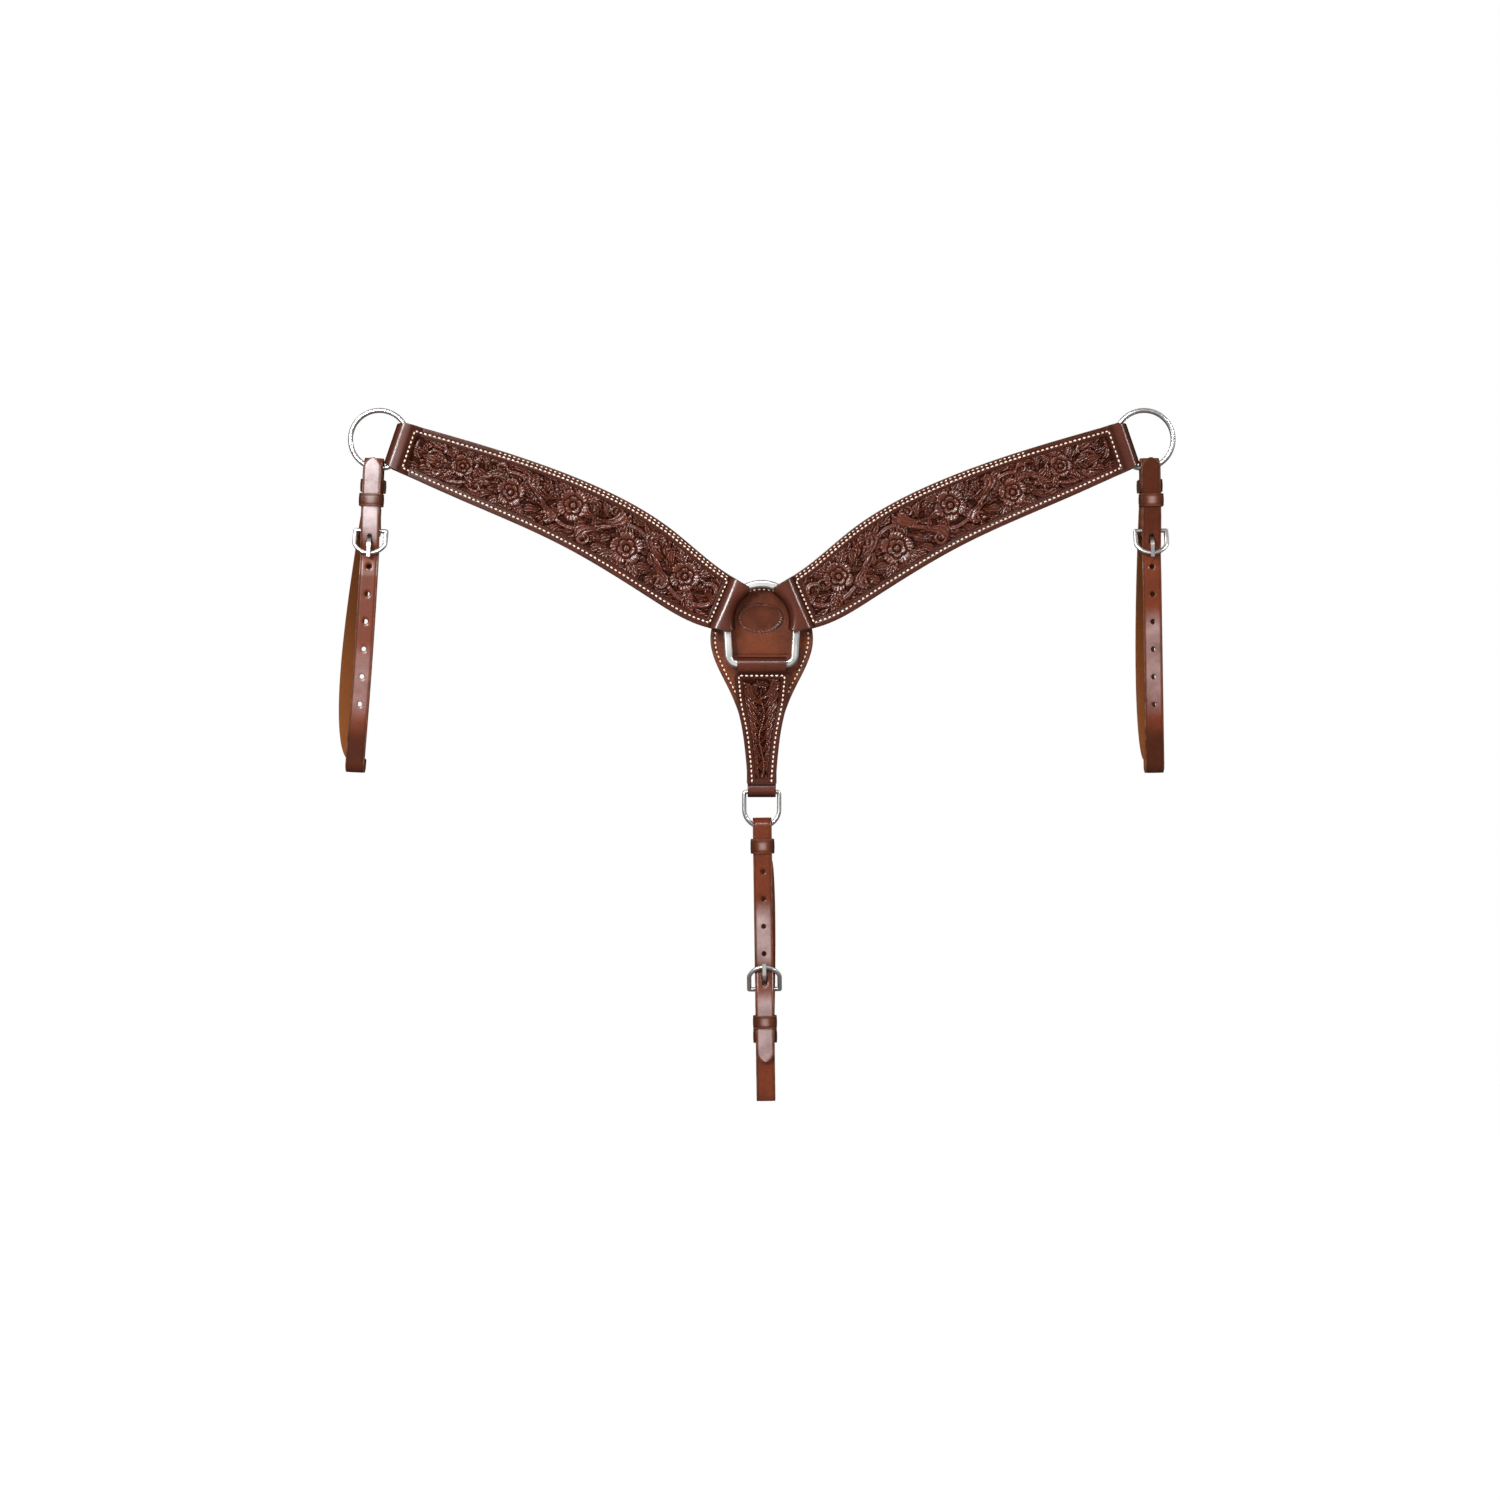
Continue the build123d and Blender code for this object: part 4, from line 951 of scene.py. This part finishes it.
def strap_strip(size, bow, line):
    """The strap bowed sideways behind, with a rounded point."""
    bar, length, s = -size["bar"], size["length"], arc_length(line)
    foot, head = -length + size["foot"], -size["keepers"][1] - KEEPER_LENGTH / 2 - 2
    share = np.clip((line[:, 1] - foot) / (head - foot), 0, 1) ** 0.62
    aside = np.where(line[:, 0] > STRAP_REACH - 0.01, 4 * share * (1 - share) * bow[0], 0)
    down = np.clip(s / 9.0, 0, 1)
    point = np.sqrt(np.clip(1 - (1 - down) ** 1.55, 0.03, 1)) * (0.9 + 0.1 * down)
    aside = aside + aside_at(bow, bar, length, line[:, 1])
    thick = np.where(s < 4, 2.6 + 0.9 * s / 4, STRAP_LEATHER)
    return hung_strip(line, aside, STRAP_HALF * np.where(s < 9, point, 1), thick)


def cutter(kind, hang, shape, **sizes):
    """A tool for cutting, shaped in the strap's own place and hung with it."""
    take_up()
    kind(**sizes)
    tool = bpy.context.object
    tool.data.vertices.foreach_set("co", (hang(shape(corners_of(tool))) * MM).ravel())
    return tool


def cut_away(piece, tools):
    """Takes the tools' shapes out of a piece."""
    take_up(*tools)
    if len(tools) > 1:
        bpy.ops.object.join()
    close_up(tools[0])
    take_up(piece)
    cut = piece.modifiers.new("cut", "BOOLEAN")
    cut.operation, cut.solver, cut.object = "DIFFERENCE", "EXACT", tools[0]
    bpy.ops.object.modifier_apply(modifier=cut.name)
    bpy.data.objects.remove(tools[0])


def build_strap(name, size, bow, painted_highlights, hang, leather, body, node):
    """One strap from its point, down the front, round both bends and round the buckle's bar."""
    bar, length = -size["bar"], size["length"]
    billet, line = strap_lines(size)
    strip = strap_strip(size, bow, line)
    x, y = strip.section(STRAP_COLUMNS, 24, bulge=0.8)
    gap = strip.gap(x)
    crease = line_at(gap, 2.1, 0.45) * np.minimum(1, strip.high / 6)[:, None]
    heights = [bar - 8.5 - HOLE_PITCH * k for k in range(size["holes"])]
    front = (arc_length(line) < arc_length(billet)[-1])[:, None]
    zz = line[:, 1:2]
    dent, ring = np.zeros(x.shape), np.zeros(x.shape)
    for k, h in enumerate(heights):
        r = np.hypot(x, np.clip(np.abs(zz - h) - (0 if k else SLOT_STRETCH), 0, None))
        dent += 0.55 * (1 - smooth(r, 2.2, 4.2))
        ring += 1 - smooth(r, 2.3, 3.1)
    y[:, strip.face] -= (0.28 * crease + dent * front)[:, strip.face]
    # painted shade in the dented rings round the holes
    shade = 1 - 0.55 * crease - 0.75 * np.clip(ring, 0, 1) * front
    # painted shade towards the foot, where the strap turns away round its lower bend
    shade *= 1 - size["painted_foot_shade"] * smooth(-zz, length - 48, length - 22)
    shade[:, strip.hidden] = 0.15 + 0.85 * smooth(-zz, 0.3 * length, length)
    # painted highlight patches on the front; a negative amount darkens the strap there instead
    mark = np.zeros(x.shape)
    for low, high, amount in painted_highlights:
        reach = smooth(zz, low - 12, low + 12) * (1 - smooth(zz, high - 12, high + 12)) * front
        mark += max(amount, 0) * reach
        shade *= 1 + min(amount, 0) * reach
    mark *= smooth(gap, 1.5, 3.5) * (y > 0)
    strap = grid_piece(name, hang(strip.place(x, y)), strip.marks(x, shade, 1.9, rub=mark))
    punches = []
    for k, h in enumerate(heights):
        centre = [aside_at(bow, bar, length, h), float(np.interp(-h, -billet[:, 1], billet[:, 0])), h]

        def punched(co):
            x, z, y = (co / MM).T
            return np.stack([x, -y, z + np.sign(z) * (0 if k else SLOT_STRETCH)], axis=1) + centre

        punches.append(cutter(bpy.ops.mesh.primitive_cylinder_add, hang, punched,
                              vertices=28, radius=HOLE_RADIUS * MM, depth=9 * MM))
    slot = cutter(bpy.ops.mesh.primitive_cube_add, hang,
                  lambda co: co * [5.0, 15, 11.8] + [0, BAR_Y, bar - 1], size=1)
    cut_away(strap, punches)
    cut_away(strap, [slot])
    bpy.ops.object.shade_smooth_by_angle(angle=math.radians(40))
    finish_piece(strap, body, leather, "strap_leather", node)


def build_keeper(name, front, back, middle, length, hang, leather):
    """A leather band closed round the strap, with creased edges and a lapped end behind."""
    depth, half = (back - front) / 2 + KEEPER_PLAY, STRAP_HALF + KEEPER_PLAY
    wide, deep = half + KEEPER_WALL / 2, depth + KEEPER_WALL / 2
    outline = [(0, -deep), (wide, -deep), (wide, deep), (-wide, deep), (-wide, -deep), (0, -deep)]
    outline = even_steps(cut_corners(outline, 1.9, step=0.35), 0.8)
    n = len(outline)
    tangent = np.roll(outline[:-1], -1, 0) - np.roll(outline[:-1], 1, 0)
    tangent = np.concatenate([tangent, tangent[:1]])
    tangent /= np.linalg.norm(tangent, axis=1)[:, None]
    centre = np.stack([outline[:, 0], outline[:, 1] + (front + back) / 2, np.full(n, -middle)], axis=1)
    outward = np.stack([tangent[:, 1], -tangent[:, 0], np.zeros(n)], axis=1)
    reach = np.full(n, length / 2)
    band = Leather(centre, same((0, 0, 1), n), outward, -reach, reach, 1.95)
    x, y = band.section(KEEPER_COLUMNS, 5, edge=3, bulge=0.7)
    crease = line_at(band.gap(x), 2.0, 0.5)
    lap = line_at(np.abs(np.arange(n) / (n - 1) - 0.5), 0.012, 0.006)[:, None]
    y[:, band.face] += (0.22 * (1 - (x / (length / 2)) ** 2) - 0.25 * crease)[:, band.face]
    y[:, band.face] -= 0.35 * lap
    shade = 1 - 0.5 * crease - 0.5 * lap * (outline[:, 1:2] > 0)
    out = (np.abs(outline[:, 0]) / half)[:, None] + 0 * x
    # painted shade: the band darker towards its sides, as its crowned face is lit
    shade *= 1 - 0.72 * smooth(out, 0.25, 0.95)
    # painted highlight down the middle of the front
    polish_and_painted_highlight = 0.3 * (1 - smooth(out, 0.05, 0.55)) * (1 - smooth(np.abs(x), 2.2, 4.6)) * (outline[:, 1:2] < 0)
    y[-1], shade[-1] = y[0], shade[0]
    points = band.place(x, y)
    points[-1] = points[0]
    edge = 1 - smooth(band.gap(x), 0.3, 1.4)
    marks = {"shade": shade, "edge": edge, "flesh": np.zeros(x.shape), "rub": polish_and_painted_highlight}
    piece = grid_piece(name + "_leather", hang(points), marks, caps=False)
    finish_piece(piece, name, leather, "keeper_leather", name)


# ------------------------------------------------------------------ finishes

def spaced(inputs):
    """Inputs under the names that the sockets have."""
    return {title.replace("_", " "): value for title, value in inputs.items()}


class Nodes:
    """The nodes of one finish, effect or world, added and joined in short steps."""

    def __init__(self, tree):
        self.tree = tree

    def feed(self, made, inputs):
        """Joins outputs to a node's sockets, and sets numbers and colours on them."""
        for title, value in inputs.items():
            socket = made.inputs[title]
            if isinstance(value, bpy.types.NodeSocket):
                self.tree.links.new(value, socket)
            elif socket.type == "RGBA":
                socket.default_value = (*value, 1)
            else:
                socket.default_value = value

    def add(self, kind, inputs, **settings):
        made = self.tree.nodes.new("ShaderNode" + kind)
        for key, value in settings.items():
            setattr(made, key, value)
        self.feed(made, inputs)
        return made.outputs

    def place(self):
        return self.add("TexCoord", {})["Object"]

    def mark(self, name):
        return self.add("Attribute", {}, attribute_name=name)["Fac"]

    def noise(self, scale, detail=2.0, roughness=0.5, place=None):
        inputs = {"Vector": place or self.place(), "Scale": scale, "Detail": detail, "Roughness": roughness}
        return self.add("TexNoise", inputs)["Fac"]

    def maths(self, operation, a, b, clamp=False):
        return self.add("Math", {0: a, 1: b}, operation=operation, use_clamp=clamp)[0]

    def plus(self, a, b, clamp=False):
        return self.maths("ADD", a, b, clamp)

    def minus(self, a, b, clamp=False):
        return self.maths("SUBTRACT", a, b, clamp)

    def times(self, a, b, clamp=False):
        return self.maths("MULTIPLY", a, b, clamp)

    def mix(self, share, a, b):
        return self.add("Mix", {0: share, 6: a, 7: b}, data_type="RGBA")[2]

    def ramp(self, value, low, high, to_low=0.0, to_high=1.0, kind="SMOOTHSTEP"):
        inputs = {"Value": value, "From Min": low, "From Max": high, "To Min": to_low, "To Max": to_high}
        return self.add("MapRange", inputs, interpolation_type=kind)[0]

    def bump(self, height, strength, distance):
        return self.add("Bump", {"Height": height, "Strength": strength, "Distance": distance})[0]

    def use(self, effect, **inputs):
        return self.add("Group", spaced(inputs), node_tree=effect)


def new_effect(name, inputs, outputs):
    """A node group with numbers in and out: its nodes, what comes in, and where to send what goes out."""
    tree = bpy.data.node_groups.new(name, "ShaderNodeTree")
    for title in (*inputs, *outputs):
        way = "INPUT" if title in inputs else "OUTPUT"
        socket = tree.interface.new_socket(title, in_out=way, socket_type="NodeSocketFloat")
        socket.default_value = inputs.get(title, 0.0)
    return Nodes(tree), tree.nodes.new("NodeGroupInput").outputs, tree.nodes.new("NodeGroupOutput")


def new_finish(name, **settings):
    """A material, its nodes and its shader."""
    material = bpy.data.materials.new(name)
    material.use_nodes = True
    nodes = Nodes(material.node_tree)
    shader = material.node_tree.nodes["Principled BSDF"]
    nodes.feed(shader, spaced(settings))
    return material, nodes, shader


def leather_grain():
    """Fine hide grain with pores, and broad mottling of the dye."""
    nodes, given, out = new_effect("leather_grain", {"Grain Size": 900.0, "Mottle Size": 45.0},
                                   ("Height", "Pores", "Mottle"))
    size = given["Grain Size"]
    cells = nodes.add("TexVoronoi", {"Vector": nodes.place(), "Scale": size, "Smoothness": 0.35},
                      feature="SMOOTH_F1")["Distance"]
    fine = nodes.noise(nodes.times(size, 0.45), 4)
    nodes.feed(out, {"Height": nodes.plus(nodes.times(cells, 0.7), nodes.times(fine, 0.6)),
                     "Pores": nodes.ramp(cells, 0.35, 0.75, kind="LINEAR"),
                     "Mottle": nodes.noise(given["Mottle Size"], 5, 0.62)})
    return nodes.tree


def edge_rub():
    """Where a rim is rubbed: the edge mark broken up by noise."""
    nodes, given, out = new_effect("edge_rub", {"Rim": 0.0, "Scale": 160.0, "Amount": 0.5}, ("Mask",))
    broken = nodes.minus(nodes.times(nodes.noise(given["Scale"], 6), 2.2), 0.6, True)
    nodes.feed(out, {"Mask": nodes.times(nodes.times(given["Rim"], broken), given["Amount"], True)})
    return nodes.tree


GRAIN, RUB = leather_grain(), edge_rub()
PAINTED_HIGHLIGHT_TINT = (0.5, 0.435, 0.44)


def toned(colour, share):
    return tuple(c * share for c in colour)


def leather(name, deep, body, worn, burnish, inner, rough, grain=0.25, size=900.0, coat=0.25, spread=0.5):
    """Oiled leather: dye that gathers in the cuts together with painted shade, painted highlight patches,
    grain, burnished rims and a raw inner side.
    """
    material, nodes, shader = new_finish(name, IOR=1.46, Specular_IOR_Level=0.06, Coat_Roughness=0.23,
                                         Coat_IOR=1.55)
    plus, minus, times, mix = nodes.plus, nodes.minus, nodes.times, nodes.mix
    hide = nodes.use(GRAIN, Grain_Size=size, Mottle_Size=38.0)
    shade, rim, flesh, painted_highlights = [nodes.mark(title) for title in ("shade", "edge", "flesh", "rub")]
    tone = times(minus(hide["Mottle"], 0.5), 2 * spread)
    dye = mix(plus(0.5, tone, True), toned(body, 0.72), toned(body, 1.3))
    dye = mix(times(hide["Pores"], 0.3), dye, deep)
    colour = mix(times(rim, 0.8), mix(shade, deep, dye), burnish)
    colour = mix(nodes.use(RUB, Rim=rim, Scale=130.0, Amount=0.55)["Mask"], colour, worn)
    # painted highlight: a pale tint laid over the colour where the painted highlight mark is set
    colour = mix(times(painted_highlights, plus(0.75, tone), True), colour, PAINTED_HIGHLIGHT_TINT)
    raw = mix(shade, toned(inner, 0.25), mix(hide["Mottle"], toned(inner, 0.7), inner))
    gloss = plus(plus(rough, times(tone, 0.22)), times(minus(1.0, shade), 0.3))
    polish_and_painted_highlight = times(times(shade, shade), minus(1.0, flesh))
    nodes.feed(shader, {"Base Color": mix(flesh, colour, raw),
                        "Roughness": plus(gloss, times(flesh, 0.35), True),
                        "Coat Weight": times(polish_and_painted_highlight, plus(coat, times(tone, -coat)), True),
                        "Normal": nodes.bump(hide["Height"], grain, 0.0004)})
    return material


def thread_finish():
    """Waxed cream thread with a twist and some dye from the leather."""
    material, nodes, shader = new_finish("waxed_thread", Specular_IOR_Level=0.4)
    soil, twist = nodes.noise(90, 3), nodes.noise(1500)
    soiled = nodes.minus(nodes.times(soil, 2.4), 0.75, True)
    colour = nodes.mix(soiled, (0.86, 0.75, 0.64), (0.62, 0.44, 0.33))
    nodes.feed(shader, {"Base Color": nodes.mix(nodes.times(twist, 0.3), colour, (0.5, 0.36, 0.27)),
                        "Roughness": nodes.plus(0.5, nodes.times(twist, 0.25)),
                        "Normal": nodes.bump(twist, 0.5, 0.0002)})
    return material


def nickel_finish(name, tone, rough, haze):
    """Polished nickel with fine rubbing and faint clouding."""
    material, nodes, shader = new_finish(name, Metallic=1, Specular_Tint=(0.12, 0.11, 0.1))
    dull = nodes.minus(nodes.times(nodes.noise(60, 4), 2.0), 0.8, True)
    drawn_out = nodes.add("Mapping", {"Vector": nodes.place(), "Scale": (1, 1, 0.12)})[0]
    rubbing = nodes.noise(260, 1, place=drawn_out)
    gloss = nodes.plus(rough, nodes.times(dull, 0.16))
    nodes.feed(shader, {"Base Color": nodes.mix(nodes.times(dull, haze), tone, toned(tone, 0.72)),
                        "Roughness": nodes.plus(gloss, nodes.times(rubbing, 0.05)),
                        "Normal": nodes.bump(rubbing, 0.02, 0.0001)})
    return material


TOOLED = leather("tooled_leather", (0.016, 0.0035, 0.0016), (0.078, 0.0168, 0.0076), (0.12, 0.036, 0.018),
                 (0.012, 0.004, 0.003), (0.08, 0.03, 0.015), 0.33, grain=0.1, coat=1.0, spread=0.9)
SHIELD = leather("plain_leather", (0.025, 0.006, 0.0025), (0.105, 0.0255, 0.0102), (0.22, 0.08, 0.04),
                 (0.018, 0.006, 0.004), (0.09, 0.035, 0.017), 0.4, coat=0.4, spread=2.2)
LINING = leather("lining_leather", (0.028, 0.009, 0.005), (0.12, 0.038, 0.018), (0.2, 0.08, 0.045),
                 (0.022, 0.008, 0.005), (0.11, 0.05, 0.026), 0.5, size=700.0, coat=0.08)
STRAP = leather("strap_leather", (0.018, 0.005, 0.0025), (0.114, 0.0225, 0.0073), (0.22, 0.08, 0.038),
                (0.016, 0.005, 0.003), (0.17, 0.052, 0.014), 0.34, grain=0.14, coat=0.45, spread=1.0)
KEEPER = leather("keeper_leather", (0.016, 0.0045, 0.0025), (0.105, 0.025, 0.0095), (0.22, 0.08, 0.038),
                 (0.018, 0.005, 0.003), (0.12, 0.045, 0.02), 0.32, grain=0.18, coat=0.8)
THREAD = thread_finish()
NICKEL = nickel_finish("nickel", (0.8, 0.785, 0.76), 0.25, 0.25)


# ------------------------------------------------------------------ making

# A strap's size, its bows behind and below, and its patches of painted highlight, darker instead where the
# amount is negative: from, to and how strong
STRAPS = {"left": (TUG, (-14.0, -5.0), [(-70, 20, 0.85), (-246, -186, 0.18)], hang_left),
          "right": (TUG, (-6.5, 0.0), [(-66, 20, -0.6), (-242, -150, 0.27)], hang_right),
          "girth": (GIRTH, (-2.5, 0.0), [(-185, -130, 0.4), (-97, -20, 0.45)], hang_girth)}


def build_object():
    wing = wing_leather()
    seams = wing_seams(wing)
    for name, side in SIDES.items():
        build_wing(name, wing, TOOLED)
        build_lining(name, wing, LINING)
        for rows, kind, radius in zip(seams, ("", "_back", "_edge"), (0.85, 0.85, 0.62)):
            sew(f"{name}_wing{kind}_stitches", rows, name + "_wing", THREAD, radius, side)
    build_shield("shield_leather", 0, -151.6, 1, SHIELD, "plain_leather", "shield_front", shield_face)
    build_shield("shield_back", 1, -164.6, -1, LINING, "lining_leather", "shield_lining", shield_back_face)
    for row, kind in zip(shield_seams(), ("", "_back")):
        sew(f"shield{kind}_stitches", [row], "drop", THREAD)
    panel = panel_sheet()
    build_panel(panel, TOOLED)
    sew("drop_panel_stitches", panel_seams(panel), "drop", THREAD)
    raised = STRAP_FACE + KEEPER_PLAY + KEEPER_WALL + BILLET_PLAY + STRAP_LEATHER
    for side, (size, bow, painted_highlights, hang) in STRAPS.items():
        node = "girth_strap" if side == "girth" else side + "_tug_strap"
        body = "girth_strap" if side == "girth" else side + "_tug"
        build_strap(node + "_leather", size, bow, painted_highlights, hang, STRAP, body, node)
        front, back = size["keepers"]
        build_keeper(side + "_keeper_front", -raised, -STRAP_BORE, front, KEEPER_LENGTH, hang, KEEPER)
        build_keeper(side + "_keeper_back", -STRAP_FACE, STRAP_FACE, back, KEEPER_LENGTH, hang, KEEPER)
    top = GIRTH["length"] - 20.3
    build_keeper("girth_keeper_top", -STRAP_FACE, STRAP_FACE, top, 14.5, hang_girth, KEEPER)
    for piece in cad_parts.values():
        if not piece.hide_render:
            piece.data.materials.clear()
            piece.data.materials.append(NICKEL)


# ------------------------------------------------------------------ studio

WORLD_FILL = 0.2
MIDDLE = (0, 0, -0.1)
LAMPS = [("key", (-1.6, -2.0, 1.8), (0.5, 0.5), 48), ("glint", (-1.25, -2.65, 0.8), (0.5, 0.5), 66),
         ("top", (-0.25, -2.5, 1.5), (0.6, 0.4), 26), ("side", (1.8, -1.7, 0.9), (0.25, 0.4), 20),
         ("back_key", (1.2, 2.2, 1.5), (0.6, 0.6), 60), ("back_side", (-1.8, 1.6, 0.6), (0.4, 0.6), 22)]


def in_scene(name, data, place):
    made = bpy.data.objects.new(name, data)
    bpy.context.scene.collection.objects.link(made)
    made.location = place
    return made


def soft_box(name, place, size, power):
    light = bpy.data.lights.new(name, "AREA")
    light.shape, light.size, light.size_y, light.energy = "RECTANGLE", *size, power
    lamp = in_scene(name, light, place)
    lamp.rotation_euler = (lamp.location - type(lamp.location)(MIDDLE)).to_track_quat("Z", "Y").to_euler()
    lamp.visible_glossy = not name.startswith("back")


def rays(nodes):
    """Whether a ray is the eye's own, and whether it comes off metal or through glass."""
    path = nodes.add("LightPath", {})
    return path["Is Camera Ray"], nodes.maths("MAXIMUM", path["Is Glossy Ray"], path["Is Transmission Ray"])


def paint_world(world):
    """White for the eye, soft bright walls for reflections, and a low even fill on the leather."""
    world.use_nodes = True
    world.node_tree.nodes.clear()
    nodes = Nodes(world.node_tree)
    eye, mirrored = rays(nodes)
    way = nodes.add("SeparateXYZ", {0: nodes.add("TexCoord", {})["Generated"]})
    straight = nodes.maths("ABSOLUTE", way["Y"], 0)
    sides, front = nodes.ramp(straight, 0.2, 0.45, 0.55, 0.08), nodes.ramp(straight, 0.86, 0.97, 0.0, 0.22)
    walls = nodes.plus(sides, front)
    fill = nodes.add("Background", {"Color": (1, 1, 1), "Strength": WORLD_FILL})[0]
    white = nodes.add("Background", {"Color": (1, 1, 1), "Strength": nodes.maths("MAXIMUM", eye, walls)})[0]
    seen = nodes.maths("MAXIMUM", eye, mirrored)
    nodes.add("OutputWorld", {"Surface": nodes.add("MixShader", {0: seen, 1: fill, 2: white})[0]})


def paint_floor():
    """Pale floor that keeps the object's shadow near it and is white further off."""
    material, nodes, shader = new_finish("pale_floor", Base_Color=(0.9, 0.9, 0.9), Roughness=0.8,
                                         Specular_IOR_Level=0.1)
    eye, mirrored = rays(nodes)
    far = nodes.add("VectorMath", {0: nodes.place()}, operation="LENGTH")["Value"]
    glow = nodes.add("Emission", {"Strength": nodes.plus(nodes.times(eye, 0.85), 0.15)})[0]
    seen = nodes.maths("MAXIMUM", nodes.times(eye, nodes.ramp(far, 0.3, 1.8, 0.82, 1.0)), mirrored)
    surface = nodes.add("MixShader", {0: seen, 1: shader.outputs[0], 2: glow})[0]
    nodes.feed(material.node_tree.nodes["Material Output"], {"Surface": surface})
    return material


def studio():
    scene = bpy.context.scene
    scene.view_settings.view_transform = "Standard"
    scene.world = bpy.data.worlds.new("studio")
    paint_world(scene.world)
    take_up()
    bpy.ops.mesh.primitive_plane_add(size=12, location=(0, 0, -0.62))
    floor = bpy.context.object
    floor.name = "floor"
    floor.data.materials.append(paint_floor())
    for lamp in LAMPS:
        soft_box(*lamp)
    camera = bpy.data.cameras.new("camera")
    camera.lens, camera.sensor_width = 72, 36
    scene.camera = in_scene("camera", camera, (-0.01175, -3.0, -0.131))
    scene.camera.rotation_euler = (math.pi / 2, 0, 0)


build_object()
studio()
